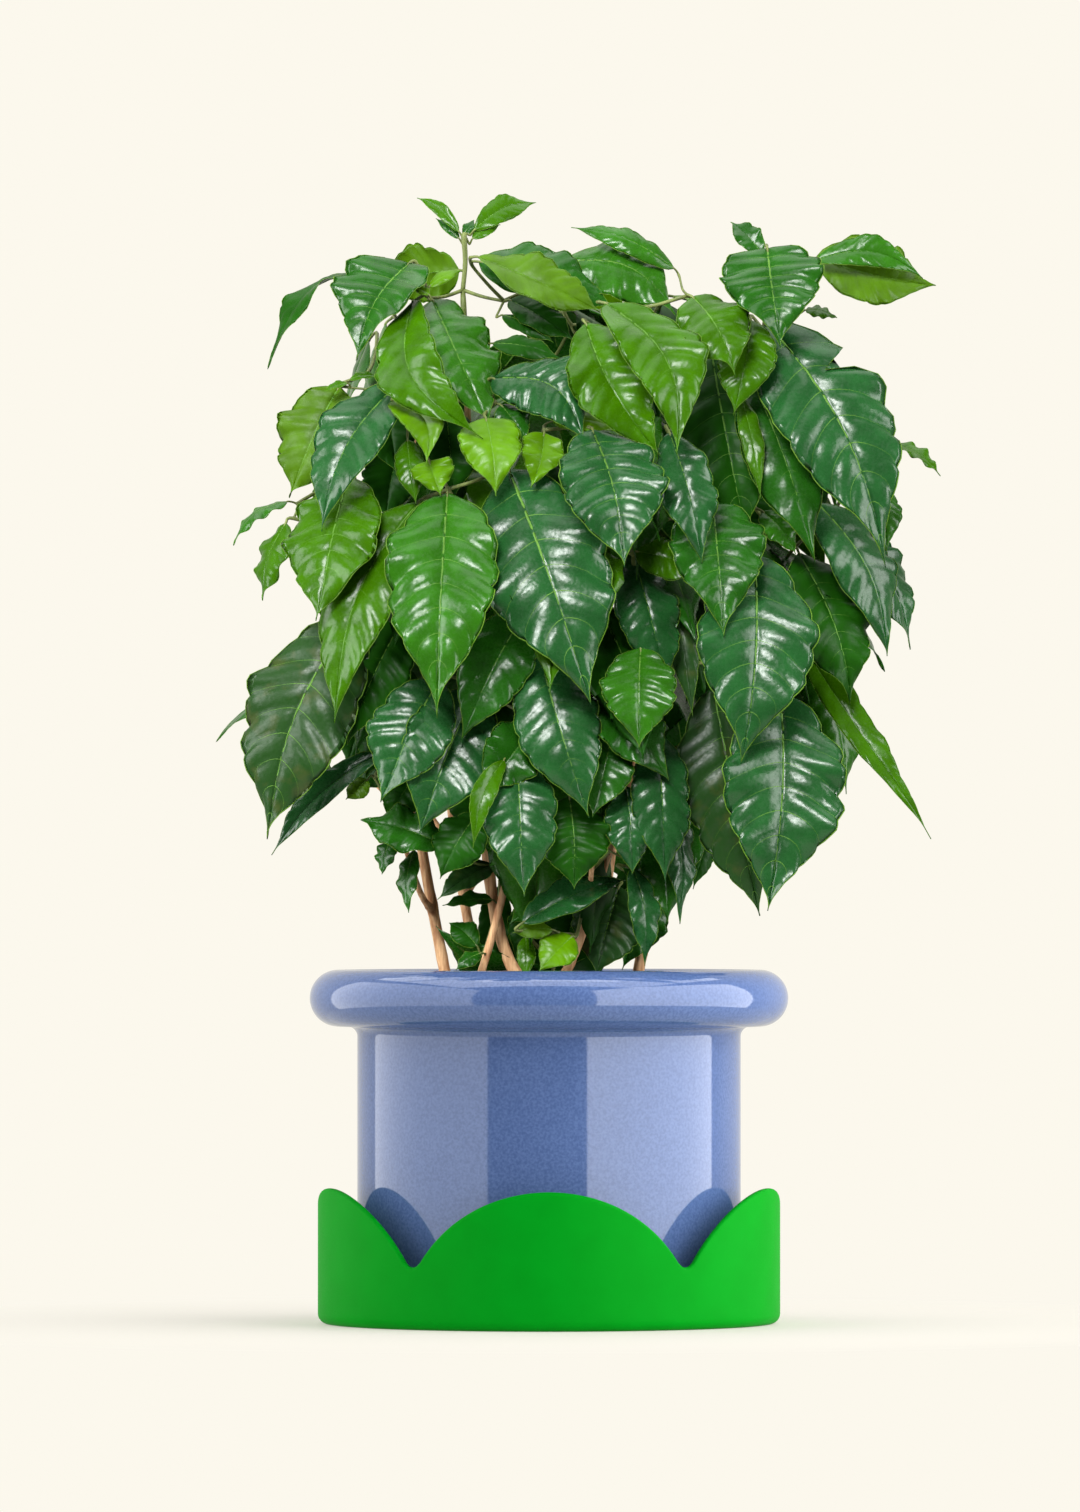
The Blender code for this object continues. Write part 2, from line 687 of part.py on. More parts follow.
def union_with(base, scratch):
    """The Boolean union of a mesh object with all that is in a collection, or None if it isn't one closed body."""
    union = base.modifiers.new("Join", "BOOLEAN")
    union.operation = "UNION"
    union.operand_type = "COLLECTION"
    union.collection = scratch
    union.solver = "MANIFOLD"
    graph = bpy.context.evaluated_depsgraph_get()
    joined = bpy.data.meshes.new_from_object(base.evaluated_get(graph))
    base.modifiers.clear()
    if is_one_body(joined):
        return joined
    bpy.data.meshes.remove(joined)
    return None


def add_leaf(base, leaf, fork, section, scratch):
    """Joins a leaf and its twig to their mass. True if the mass is still one closed body afterwards."""
    for attempt in range(4):
        blade = leaf_solid(leaf, scratch)
        branch = twig(twig_path(fork, leaf, ROOTED + 0.03 * attempt), TWIG_RADIUS, section, scratch)
        joined = union_with(base, scratch)
        bpy.data.objects.remove(blade)
        bpy.data.objects.remove(branch)
        if joined:
            joined.name = base.name
            joined.materials.clear()
            joined.materials.append(base.data.materials[0])
            base.data = joined
            return True
    return False


def is_one_body(mesh):
    """Welds a mesh. True if it's closed and its faces are all joined edge to edge."""
    bm = bmesh.new()
    bm.from_mesh(mesh)
    bmesh.ops.remove_doubles(bm, verts=bm.verts, dist=MERGE / 50)
    bm.to_mesh(mesh)
    closed = all(edge.is_manifold for edge in bm.edges) and all(vert.is_manifold for vert in bm.verts)
    left = set(bm.faces)
    queue = [left.pop()]
    while queue:
        face = queue.pop()
        for edge in face.edges:
            for other in edge.link_faces:
                if other in left:
                    left.discard(other)
                    queue.append(other)
    bm.free()
    return closed and not left


def nudges(is_front, rng):
    """Small moves tried in turn when a leaf touches another mass: along the line of sight for a front leaf."""
    if is_front:
        steps = (0, -5, 5, -10, 10, 15, -15, 20, 26)
        return [Vector((0, step, 0)) * MM for step in steps]
    return [Vector([rng.uniform(-1, 1) * 2.2 * k for _ in range(3)]) * MM for k in range(12)]


def tried(leaf, fork, section, scratch):
    """Search trees of a leaf and its twig, swollen by the margin that they keep to other masses."""
    trial = leaf_solid(leaf, scratch, LEAF_THICKNESS + 2 * TEST_MARGIN, 1.04)
    branch = twig(twig_path(fork, leaf), TWIG_RADIUS + TEST_MARGIN, section, scratch)
    trees = [tree_of_mesh(trial), tree_of_mesh(branch)]
    bpy.data.objects.remove(trial)
    bpy.data.objects.remove(branch)
    return trees


def build_masses(roots, limb_trees, green, section, scratch, collection):
    """Every mass of leaves: a short stem, then each leaf in turn on a twig from the nearest fork."""
    rng = random.Random(SEED)
    order = []
    for is_front, leaves in ((True, front_leaves()), (False, ring_leaves(rng))):
        order += [(is_front, nearest_mass(leaf, roots), leaf) for leaf in leaves]
    order.sort(key=lambda row: (not row[0], (row[2].foot - roots[row[1]][0]).length))
    limbs = list(limb_trees.values())
    masses = {}
    for name, (start, heading, radius) in roots.items():
        begin = start + heading * CLEAR
        fork = begin + heading * MASS_STEM
        masses[name] = Mass(twig([begin, fork], radius, section, collection), [fork], [])
        masses[name].body.name = "leaves_" + name
        masses[name].body.data.materials.append(green)
    placed = 0
    for is_front, name, leaf in order:
        mass = masses[name]
        blockers = limbs + [tree_of_mesh(other.body) for other in masses.values() if other is not mass]
        for step in nudges(is_front, rng):
            moved = leaf._replace(foot=leaf.foot + step, tip=leaf.tip + step)
            fork = min(mass.forks, key=lambda point: (point - moved.foot).length)
            blade, branch = tried(moved, fork, section, scratch)
            if not stays_above_rim(moved) or any(t.overlap(other) for t in (blade, branch) for other in blockers):
                continue
            if not is_front and any(blade.overlap(other) for other in mass.blades):
                continue
            if add_leaf(mass.body, moved, fork, section, scratch):
                mass.blades.append(blade)
                mass.forks.extend(twig_path(fork, moved)[1:3])
                placed += 1
                break
    print("placed", placed, "of", len(order), {name: len(mass.blades) for name, mass in masses.items()})


def tree_of_mesh(obj):
    """A search tree of a mesh object that has no modifiers."""
    bm = bmesh.new()
    bm.from_mesh(obj.data)
    tree = BVHTree.FromBMesh(bm)
    bm.free()
    return tree


def main():
    """Builds the saucer, the pot, the soil and the plant."""
    empty_the_scene()
    collection = new_collection("potted_coffee_plant")
    scratch = new_collection("joining")
    saucer(collection)
    pot(collection)
    soil(collection)
    bark = finish("bark", OLD_BROWN, 0.8)
    green = finish("leaf green", LEAF_GREEN, 0.3)
    stems = build_stems(bark, collection)
    boughs, trees = build_boughs(stems, bark, collection)
    section = triangle_profile()
    roots = mass_roots(stems, boughs)
    build_masses(roots, trees, green, section, scratch, collection)
    bpy.data.objects.remove(section)
    bpy.data.collections.remove(scratch)


main()
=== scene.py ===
"""Looks of the potted coffee plant: glazed pot, satin saucer, soil, ridged bark, twigs and veined leaves.

Metres, +Z up, the front of the plant faces -Y, and the origin is under the middle of the saucer. Places in
the planting list and on the limbs are in millimetres, as in the part's source.
"""

import json
import logging
import math
import random
from dataclasses import dataclass, field
from enum import Enum
from typing import NamedTuple

import bpy
import numpy as np
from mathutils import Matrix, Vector, noise
from mathutils.bvhtree import BVHTree

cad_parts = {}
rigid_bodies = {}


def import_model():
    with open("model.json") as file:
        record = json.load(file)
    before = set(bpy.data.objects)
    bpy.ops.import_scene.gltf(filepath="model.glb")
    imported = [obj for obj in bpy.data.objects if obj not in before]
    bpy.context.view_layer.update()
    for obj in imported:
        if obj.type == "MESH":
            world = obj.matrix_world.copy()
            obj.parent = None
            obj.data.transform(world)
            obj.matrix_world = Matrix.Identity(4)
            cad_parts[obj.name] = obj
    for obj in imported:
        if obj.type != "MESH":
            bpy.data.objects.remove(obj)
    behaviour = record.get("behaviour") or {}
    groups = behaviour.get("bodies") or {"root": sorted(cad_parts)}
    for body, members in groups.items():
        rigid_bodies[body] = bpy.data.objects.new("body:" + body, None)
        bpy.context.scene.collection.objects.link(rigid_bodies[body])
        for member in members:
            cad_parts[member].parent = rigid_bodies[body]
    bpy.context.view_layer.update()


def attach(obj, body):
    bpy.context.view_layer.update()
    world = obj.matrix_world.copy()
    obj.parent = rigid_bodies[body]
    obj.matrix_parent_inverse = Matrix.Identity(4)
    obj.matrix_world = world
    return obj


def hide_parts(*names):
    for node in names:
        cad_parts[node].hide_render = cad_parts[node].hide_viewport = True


log = logging.getLogger("potted_coffee_plant")

MM = 0.001
SEED = 7
BODY = "root"
AREA_LIGHT_WATTS = 4.0
EYE = Vector((0.0, -6.646, 0.25))

Colour = tuple[float, float, float]


class Tone(Enum):
    """The leaf colours of the plant, from the newest growth to leaves in the shade."""

    YOUNG = "young"
    FRESH = "fresh"
    MID = "mid"
    DEEP = "deep"
    TEAL = "teal"
    SHADE = "shade"
    OLIVE = "olive"
    AGED = "aged"


class Shader:
    """A Principled material and the few nodes that the finishes are made of, on Object coordinates."""

    def __init__(self, name: str, colour: Colour, roughness: float) -> None:
        """Starts a material.

        Args:
            name: The material's name.
            colour: The base colour.
            roughness: The roughness of the whole surface.
        """
        self.material = bpy.data.materials.new(name)
        self.material.use_nodes = True
        self.nodes = self.material.node_tree.nodes
        self.links = self.material.node_tree.links
        self.surface = self.nodes["Principled BSDF"]
        self.set("Base Color", (*colour, 1.0))
        self.set("Roughness", roughness)
        self.place = self.nodes.new("ShaderNodeTexCoord").outputs["Object"]

    def set(self, socket: str, value: float | tuple) -> None:
        """Sets a constant on the shader's own socket."""
        self.surface.inputs[socket].default_value = value

    def noise(self, scale: float, detail: float = 3.0, stretch: tuple = (1.0, 1.0, 1.0)) -> bpy.types.NodeSocket:
        """Noise on the piece, from 0 to 1.

        Args:
            scale: Features per metre.
            detail: Octaves.
            stretch: How the pattern is scaled along X, Y and Z.

        Returns:
            The noise's value socket.
        """
        mapping = self.nodes.new("ShaderNodeMapping")
        mapping.inputs["Scale"].default_value = stretch
        texture = self.nodes.new("ShaderNodeTexNoise")
        texture.inputs["Scale"].default_value = scale
        texture.inputs["Detail"].default_value = detail
        self.links.new(self.place, mapping.inputs["Vector"])
        self.links.new(mapping.outputs["Vector"], texture.inputs["Vector"])
        return texture.outputs["Fac"]

    def cells(self, scale: float) -> bpy.types.NodeSocket:
        """Irregular cells on the piece, as the distance from each cell's middle.

        Args:
            scale: Cells per metre.

        Returns:
            The distance socket, about 0 to 1.
        """
        texture = self.nodes.new("ShaderNodeTexVoronoi")
        texture.inputs["Scale"].default_value = scale
        texture.feature = "SMOOTH_F1"
        self.links.new(self.place, texture.inputs["Vector"])
        return texture.outputs["Distance"]

    def span(self, value: bpy.types.NodeSocket, low: float, high: float, start: float, end: float) -> bpy.types.NodeSocket:
        """Maps a value from one range to another, clamped."""
        node = self.nodes.new("ShaderNodeMapRange")
        self.links.new(value, node.inputs["Value"])
        for name, number in zip(("From Min", "From Max", "To Min", "To Max"), (low, high, start, end)):
            node.inputs[name].default_value = number
        return node.outputs["Result"]

    def mottle(self, value: bpy.types.NodeSocket, dark: Colour, light: Colour) -> bpy.types.NodeSocket:
        """Paints the base colour from dark to light by a value. Returns the colour socket."""
        ramp = self.nodes.new("ShaderNodeValToRGB")
        ramp.color_ramp.elements[0].color = (*dark, 1.0)
        ramp.color_ramp.elements[1].color = (*light, 1.0)
        self.links.new(value, ramp.inputs["Fac"])
        self.links.new(ramp.outputs["Color"], self.surface.inputs["Base Color"])
        return ramp.outputs["Color"]

    def relief(self, value: bpy.types.NodeSocket, depth: float, strength: float = 1.0) -> None:
        """Bumps the surface by a value.

        Args:
            value: The height, from 0 to 1.
            depth: What a height of 1 stands for, in metres.
            strength: The bump's strength.
        """
        bump = self.nodes.new("ShaderNodeBump")
        bump.inputs["Strength"].default_value = strength
        bump.inputs["Distance"].default_value = depth
        self.links.new(value, bump.inputs["Height"])
        self.links.new(bump.outputs["Normal"], self.surface.inputs["Normal"])

    def rough(self, value: bpy.types.NodeSocket, smooth: float, rough: float) -> None:
        """Lets the roughness wander between two limits by a value."""
        self.links.new(self.span(value, 0.3, 0.7, smooth, rough), self.surface.inputs["Roughness"])


@dataclass(frozen=True)
class GlazeFinish:
    """Glossy ceramic glaze with fine speckles and slow clouds of a lighter blue."""

    dark: Colour = (0.046, 0.082, 0.205)
    light: Colour = (0.086, 0.136, 0.292)
    speckles: float = 620.0
    clouds: float = 26.0
    gloss: float = 0.07

    def dress(self) -> bpy.types.Material:
        """Makes the material."""
        shader = Shader("lavender_glaze", self.dark, self.gloss)
        fine = shader.noise(self.speckles, 4.0)
        slow = shader.noise(self.clouds, 2.0)
        add = shader.nodes.new("ShaderNodeMath")
        add.operation = "MULTIPLY_ADD"
        add.inputs[1].default_value = 0.35
        shader.links.new(slow, add.inputs[0])
        shader.links.new(shader.span(fine, 0.36, 0.64, 0.0, 0.65), add.inputs[2])
        shader.mottle(add.outputs["Value"], self.dark, self.light)
        shader.relief(shader.noise(160.0, 2.0), 0.0001, 0.12)
        return shader.material


@dataclass(frozen=True)
class CoatingFinish:
    """Satin bright green coating with a very fine orange-peel."""

    dark: Colour = (0.000, 0.245, 0.008)
    light: Colour = (0.000, 0.262, 0.009)
    roughness: float = 0.5

    def dress(self) -> bpy.types.Material:
        """Makes the material."""
        shader = Shader("satin_green_coating", self.light, self.roughness)
        shader.mottle(shader.span(shader.noise(45.0, 3.0), 0.35, 0.65, 0.0, 1.0), self.dark, self.light)
        shader.set("Specular IOR Level", 0.03)
        grain = shader.noise(1400.0, 2.0)
        shader.rough(grain, self.roughness - 0.06, self.roughness + 0.08)
        shader.relief(grain, 0.00008, 0.3)
        return shader.material


@dataclass(frozen=True)
class EarthFinish:
    """Dark crumbly potting mix."""

    dark: Colour = (0.012, 0.008, 0.005)
    light: Colour = (0.075, 0.045, 0.026)

    def dress(self) -> bpy.types.Material:
        """Makes the material."""
        shader = Shader("potting_mix", self.dark, 0.95)
        crumbs = shader.noise(420.0, 8.0)
        shader.mottle(shader.span(crumbs, 0.38, 0.66, 0.0, 1.0), self.dark, self.light)
        shader.relief(crumbs, 0.002, 0.9)
        return shader.material


@dataclass(frozen=True)
class BarkFinish:
    """Thin brown bark with pale lengthwise streaks."""

    name: str
    dark: Colour
    light: Colour
    roughness: float = 0.72
    streaks: float = 480.0

    def dress(self) -> bpy.types.Material:
        """Makes the material."""
        shader = Shader(self.name, self.dark, self.roughness)
        grain = shader.noise(self.streaks, 5.0, (1.0, 1.0, 0.12))
        shader.mottle(shader.span(grain, 0.36, 0.66, 0.0, 1.0), self.dark, self.light)
        shader.rough(grain, self.roughness - 0.1, self.roughness + 0.15)
        shader.relief(grain, 0.0006, 0.7)
        return shader.material


@dataclass(frozen=True)
class LeafFinish:
    """A leaf's waxy skin in one plain green, with a fine network of crossing veins as relief.

    The green wanders a little over the blade, or towards the colour of the patches on an old leaf.
    """

    name: str
    colour: Colour
    roughness: float
    gloss: float
    patches: Colour | None = None
    mesh_of_veins: float = 400.0

    def dress(self) -> bpy.types.Material:
        """Makes the material."""
        shader = Shader(self.name, self.colour, self.roughness)
        dark = tuple(0.80 * c for c in self.colour)
        light = self.patches or tuple(1.18 * c for c in self.colour)
        low = 0.54 if self.patches else 0.32
        shader.mottle(shader.span(shader.noise(70.0, 4.0), low, 0.68, 0.0, 1.0), dark, light)
        shader.set("Specular IOR Level", self.gloss)
        cells = shader.cells(self.mesh_of_veins)
        shader.rough(shader.noise(500.0, 3.0), self.roughness - 0.05, self.roughness + 0.08)
        shader.relief(cells, 0.0003, 0.4)
        return shader.material


LEAF_FINISHES = {
    Tone.YOUNG: LeafFinish("young_leaf", (0.084, 0.220, 0.0005), 0.32, 0.22),
    Tone.FRESH: LeafFinish("fresh_leaf", (0.036, 0.128, 0.0003), 0.25, 0.24),
    Tone.MID: LeafFinish("grown_leaf", (0.022, 0.120, 0.004), 0.25, 0.32),
    Tone.DEEP: LeafFinish("deep_leaf", (0.012, 0.086, 0.004), 0.26, 0.33),
    Tone.TEAL: LeafFinish("bluish_leaf", (0.012, 0.078, 0.016), 0.26, 0.40),
    Tone.SHADE: LeafFinish("shaded_leaf", (0.009, 0.068, 0.002), 0.38, 0.12),
    # The pale olive of a leaf's underside, made brighter still as painted light that shines through the blade.
    Tone.OLIVE: LeafFinish("leaf_underside", (0.060, 0.150, 0.001), 0.42, 0.2),
    Tone.AGED: LeafFinish("aged_leaf", (0.017, 0.070, 0.010), 0.36, 0.28, (0.038, 0.066, 0.012)),
}
RIB_FINISH = LeafFinish("leaf_ribs", (0.110, 0.255, 0.035), 0.45, 0.2)
EDGE_FINISH = LeafFinish("leaf_edges", (0.105, 0.225, 0.016), 0.40, 0.25)
BARK = BarkFinish("stem_bark", (0.460, 0.205, 0.085), (0.860, 0.540, 0.280))
TWIG_SKIN = BarkFinish("green_twigs", (0.100, 0.135, 0.030), (0.210, 0.260, 0.070), 0.5, 260.0)


def deselect_all() -> None:
    """Leaves nothing selected, so that an operator acts on new geometry only."""
    for obj in bpy.context.selected_objects:
        obj.select_set(False)


def put_together(
    obj: bpy.types.Object, material: bpy.types.Material, nodes: list[str]
) -> bpy.types.Object:
    """Gives a piece its finish, hangs it on the part's body and lets it stand for its nodes.

    Args:
        obj: The finished piece.
        material: Its material.
        nodes: The nodes that the piece stands for.

    Returns:
        The piece.
    """
    obj.data.materials.clear()
    obj.data.materials.append(material)
    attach(obj, BODY)
    if nodes:
        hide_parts(*nodes)
    log.info("%s: %d faces", obj.name, len(obj.data.polygons))
    return obj


def arc(across: float, up: float, radius: float, start: float, end: float, count: int) -> list[tuple[float, float]]:
    """Points on a circular arc, in degrees from +X, both ends included."""
    turn = [math.radians(start + (end - start) * k / (count - 1)) for k in range(count)]
    return [(across + radius * math.cos(a), up + radius * math.sin(a)) for a in turn]


def spun(name: str, outline: list[tuple[float, float]], steps: int) -> bpy.types.Object:
    """A solid of revolution: a ring primitive laid on the outline and spun about Z.

    Args:
        name: The piece's name.
        outline: A closed outline as (radius, height), in metres.
        steps: Steps round the axis.

    Returns:
        The object, with its doubles merged and its faces pointing out.
    """
    deselect_all()
    bpy.ops.mesh.primitive_circle_add(vertices=len(outline), radius=0.01)
    obj = bpy.context.active_object
    obj.name = obj.data.name = name
    for vert, (radius, height) in zip(obj.data.vertices, outline):
        vert.co = (radius, 0.0, height)
    bpy.ops.object.mode_set(mode="EDIT")
    bpy.ops.mesh.select_all(action="SELECT")
    bpy.ops.mesh.spin(steps=steps, angle=2 * math.pi, center=(0, 0, 0), axis=(0, 0, 1))
    bpy.ops.mesh.select_all(action="SELECT")
    bpy.ops.mesh.remove_doubles(threshold=0.00002)
    bpy.ops.mesh.normals_make_consistent(inside=False)
    bpy.ops.object.mode_set(mode="OBJECT")
    return obj


def smooth_by_angle(obj: bpy.types.Object, degrees: float) -> None:
    """Shades a piece smooth, with edges sharper than an angle left crisp."""
    deselect_all()
    obj.select_set(True)
    bpy.context.view_layer.objects.active = obj
    bpy.ops.object.shade_smooth_by_angle(angle=math.radians(degrees))


def apply_modifiers(obj: bpy.types.Object) -> None:
    """Applies every modifier of a piece."""
    bpy.context.view_layer.objects.active = obj
    for modifier in list(obj.modifiers):
        bpy.ops.object.modifier_apply(modifier=modifier.name)


@dataclass
class Pot:
    """The glazed pot: a straight body under a rolled rim, with a drain hole.

    A ring of points held close to each fillet keeps the straight wall flat in its reflections.
    """

    foot: float = 0.0043
    top: float = 0.212
    body_radius: float = 0.115
    wall: float = 0.008
    floor: float = 0.009
    rim_radius: float = 0.1435
    rim_tube: float = 0.017
    lip: float = 0.019
    neck_fillet: float = 0.006
    foot_fillet: float = 0.006
    drain_radius: float = 0.008
    held: float = 0.002
    steps: int = 160

    def outline(self) -> list[tuple[float, float]]:
        """The pot's closed outline as (radius, height)."""
        inner = self.body_radius - self.wall
        middle = self.rim_radius - self.rim_tube
        under = self.top - 2 * self.rim_tube
        floor = self.foot + self.floor
        return [
            *arc(middle, self.top - self.lip, self.lip, 180, 90, 14),
            *arc(middle, self.top - self.rim_tube, self.rim_tube, 90, -90, 40)[1:],
            *arc(self.body_radius + self.neck_fillet, under - self.neck_fillet, self.neck_fillet, 90, 180, 10),
            (self.body_radius, under - self.neck_fillet - self.held),
            (self.body_radius, self.foot + self.foot_fillet + self.held),
            *arc(self.body_radius - self.foot_fillet, self.foot + self.foot_fillet, self.foot_fillet, 0, -90, 9),
            (self.drain_radius, self.foot),
            (self.drain_radius, floor),
            *arc(inner - self.foot_fillet, floor + self.foot_fillet, self.foot_fillet, -90, 0, 8),
        ]

    def build(self) -> bpy.types.Object:
        """Spins, shades and dresses the pot. Returns it."""
        obj = spun("glazed_pot", self.outline(), self.steps)
        smooth_by_angle(obj, 40)
        return put_together(obj, GlazeFinish().dress(), ["pot"])


@dataclass
class Saucer:
    """The saucer: a floor and an upright wall whose edge is cut into round lobes.

    Rings held close to the corner and to the edge keep the wall flat in its shading.
    """

    radius: float = 0.1386
    wall: float = 0.004
    corner: float = 0.006
    lobes: int = 5
    peak: float = 0.082
    notch: float = 0.037
    notch_fillet: float = 0.007
    edge_round: float = 0.0017
    held: float = 0.003
    steps: int = 300

    def edge_height(self, angle: float) -> float:
        """Height of the edge at an angle from the front: a circle's arc for each lobe, notches filleted."""
        pitch = 2 * math.pi / self.lobes
        half = self.radius * pitch / 2
        rise = self.peak - self.notch
        both = (half * half + rise * rise) / (2 * rise)
        lobe_radius = both - self.notch_fillet
        along = abs((angle + pitch / 2) % pitch - pitch / 2) * self.radius
        to_notch = half - along
        if to_notch < half * self.notch_fillet / both:
            return self.notch + self.notch_fillet - math.sqrt(self.notch_fillet**2 - to_notch**2)
        return self.peak - lobe_radius + math.sqrt(lobe_radius**2 - along**2)

    def raise_ring(self, obj: bpy.types.Object, radius: float, height: float | None, below: float = 0.0) -> None:
        """Extrudes the open rim and moves it to a radius and a height, or to the scalloped edge.

        Args:
            obj: The saucer, in edit mode with its rim selected.
            radius: The new ring's radius.
            height: Its height, or None for the scalloped edge.
            below: How far under the scalloped edge it stays.
        """
        bpy.ops.mesh.extrude_edges_move(TRANSFORM_OT_translate={"value": (0, 0, 0.0001)})
        bpy.ops.object.mode_set(mode="OBJECT")
        for vert in obj.data.vertices:
            if vert.select:
                angle = math.atan2(vert.co.x, -vert.co.y)
                z = self.edge_height(angle) - below if height is None else height
                vert.co = (radius * math.sin(angle), -radius * math.cos(angle), z)
        bpy.ops.object.mode_set(mode="EDIT")

    def build(self) -> None:
        """Raises the wall from a disc, thickens it inwards, rounds its edge and dresses it."""
        deselect_all()
        floor_radius = self.radius - self.corner
        bpy.ops.mesh.primitive_circle_add(vertices=self.steps, radius=floor_radius, fill_type="NGON")
        obj = bpy.context.active_object
        obj.name = obj.data.name = "scalloped_saucer"
        bpy.ops.object.mode_set(mode="EDIT")
        bpy.ops.mesh.select_mode(type="EDGE")
        bpy.ops.mesh.select_all(action="SELECT")
        for radius, height in arc(floor_radius, self.corner, self.corner, -75, 0, 6):
            self.raise_ring(obj, radius, height)
        self.raise_ring(obj, self.radius, self.corner + self.held)
        self.raise_ring(obj, self.radius, None, self.held)
        self.raise_ring(obj, self.radius, None)
        bpy.ops.mesh.select_all(action="SELECT")
        bpy.ops.mesh.normals_make_consistent(inside=False)
        bpy.ops.object.mode_set(mode="OBJECT")
        if obj.data.polygons[0].normal.z > 0:
            obj.data.flip_normals()
        shell = obj.modifiers.new("Wall", "SOLIDIFY")
        shell.thickness = self.wall
        shell.offset = -1
        shell.use_even_offset = True
        edge = obj.modifiers.new("Edge", "BEVEL")
        edge.width = self.edge_round
        edge.segments = 4
        edge.limit_method = "ANGLE"
        edge.angle_limit = math.radians(60)
        apply_modifiers(obj)
        smooth_by_angle(obj, 40)
        put_together(obj, CoatingFinish().dress(), ["saucer"])


@dataclass
class Soil:
    """The soil in the pot, with an uneven crumbly top."""

    top: float = 0.190
    radius: float = 0.1067
    floor: float = 0.0136
    corner: float = 0.008
    rings: int = 26
    relief: float = 0.0022
    crumbs: int = 260

    def build(self) -> None:
        """Spins the soil, roughens its top and strews crumbs on it."""
        tops = [(self.radius * k / self.rings, self.top) for k in range(self.rings, 0, -1)]
        sides = [(self.radius, self.floor + self.corner), (self.radius - self.corner, self.floor)]
        outline = [(0.0, self.floor), *sides[::-1], *tops, (0.0, self.top)]
        obj = spun("soil_bed", outline, 120)
        for vert in obj.data.vertices:
            reach = math.hypot(vert.co.x, vert.co.y)
            if vert.co.z > self.top - 0.001 and reach < self.radius - 0.001:
                vert.co.z -= self.relief * (0.5 + 0.5 * noise.noise(vert.co * 55)) * 1.2
                vert.co.z -= self.relief * 0.5 * abs(noise.noise(vert.co * 190))
        smooth_by_angle(obj, 60)
        earth = EarthFinish().dress()
        put_together(obj, earth, ["soil"])
        self.strew(earth)

    def strew(self, earth: bpy.types.Material) -> None:
        """Strews lumps of mix on the soil, all in one piece."""
        rng = random.Random(SEED)
        deselect_all()
        bpy.ops.mesh.primitive_ico_sphere_add(subdivisions=1, radius=1.0)
        lump = bpy.context.active_object
        shape = np.array([v.co for v in lump.data.vertices])
        faces = np.array([p.vertices for p in lump.data.polygons])
        points, polygons = [], []
        for k in range(self.crumbs):
            size = rng.uniform(0.0012, 0.0032)
            turn, reach = rng.uniform(0, 2 * math.pi), (self.radius - 0.008) * math.sqrt(rng.random())
            jitter = np.array([[rng.uniform(0.7, 1.2) for _ in range(3)] for _ in shape])
            centre = np.array([reach * math.sin(turn), reach * math.cos(turn), self.top - 0.45 * size - 0.0009])
            points.append(shape * jitter * size * np.array([1.0, 1.0, 0.7]) + centre)
            polygons.append(faces + k * len(shape))
        bpy.data.objects.remove(lump)
        obj = mesh_piece("soil_crumbs", np.concatenate(points), np.concatenate(polygons).tolist())
        put_together(obj, earth, [])


def mesh_piece(name: str, points: np.ndarray, faces: list, smooth: bool = False) -> bpy.types.Object:
    """A piece from arrays of points and faces, for what repeats many times."""
    mesh = bpy.data.meshes.new(name)
    mesh.from_pydata(points.tolist(), [], faces)
    if smooth:
        mesh.shade_smooth()
    obj = bpy.data.objects.new(name, mesh)
    bpy.context.scene.collection.objects.link(obj)
    return obj


class Stem(NamedTuple):
    """A stem from the soil to its tip, with one knee on the way; places in millimetres."""

    name: str
    foot: tuple
    knee: tuple
    tip: tuple
    foot_radius: float
    tip_radius: float


class Bough(NamedTuple):
    """A limb that leaves its stem at a height and ends where its mass of leaves begins; in millimetres."""

    name: str
    stem: str
    leaves_at: float
    tip: tuple


STEMS = (
    Stem("left", (-60, -12), (-76, -20, 285), (-104, -26, 462), 3.6, 1.9),
    Stem("crossing", (-44, -44), (-25, -48, 268), (18, -56, 470), 2.4, 1.6),
    Stem("front_left", (-15, -30), (-37, -32, 283), (-51, -30, 606), 3.8, 1.6),
    Stem("middle", (-4, 12), (8, 16, 300), (22, -6, 572), 3.4, 1.8),
    Stem("right_lean", (4, -34), (31, -34, 268), (112, -40, 556), 2.9, 1.7),
    Stem("right", (52, -6), (64, -8, 252), (124, 2, 430), 3.6, 1.9),
    Stem("back_left", (-40, 34), (-58, 52, 300), (-76, 84, 510), 3.2, 1.8),
    Stem("back_right", (26, 42), (40, 62, 300), (64, 90, 525), 3.2, 1.8),
)

BOUGHS = (
    Bough("left_crest", "front_left", 470, (-88, -60, 548)),
    Bough("left_front", "left", 330, (-96, -74, 418)),
    Bough("left_side", "left", 300, (-134, 22, 366)),
    Bough("left_skirt", "left", 240, (-86, -52, 286)),
    Bough("centre_left", "front_left", 350, (-42, -92, 452)),
    Bough("centre_low", "crossing", 290, (-14, -86, 352)),
    Bough("centre_right", "right_lean", 330, (50, -92, 446)),
    Bough("front_skirt", "right_lean", 238, (26, -74, 280)),
    Bough("right_crest", "right_lean", 470, (124, -72, 580)),
    Bough("right_front", "right", 300, (106, -72, 388)),
    Bough("right_side", "right", 330, (152, 34, 400)),
    Bough("right_skirt", "right", 240, (98, 22, 296)),
    Bough("back_crest", "middle", 440, (-6, 76, 560)),
    Bough("back_left_low", "back_left", 280, (-92, 96, 350)),
    Bough("back_low", "back_left", 250, (-22, 104, 330)),
    Bough("back_middle", "back_right", 340, (2, 116, 440)),
    Bough("back_right_low", "back_right", 280, (88, 100, 344)),
)


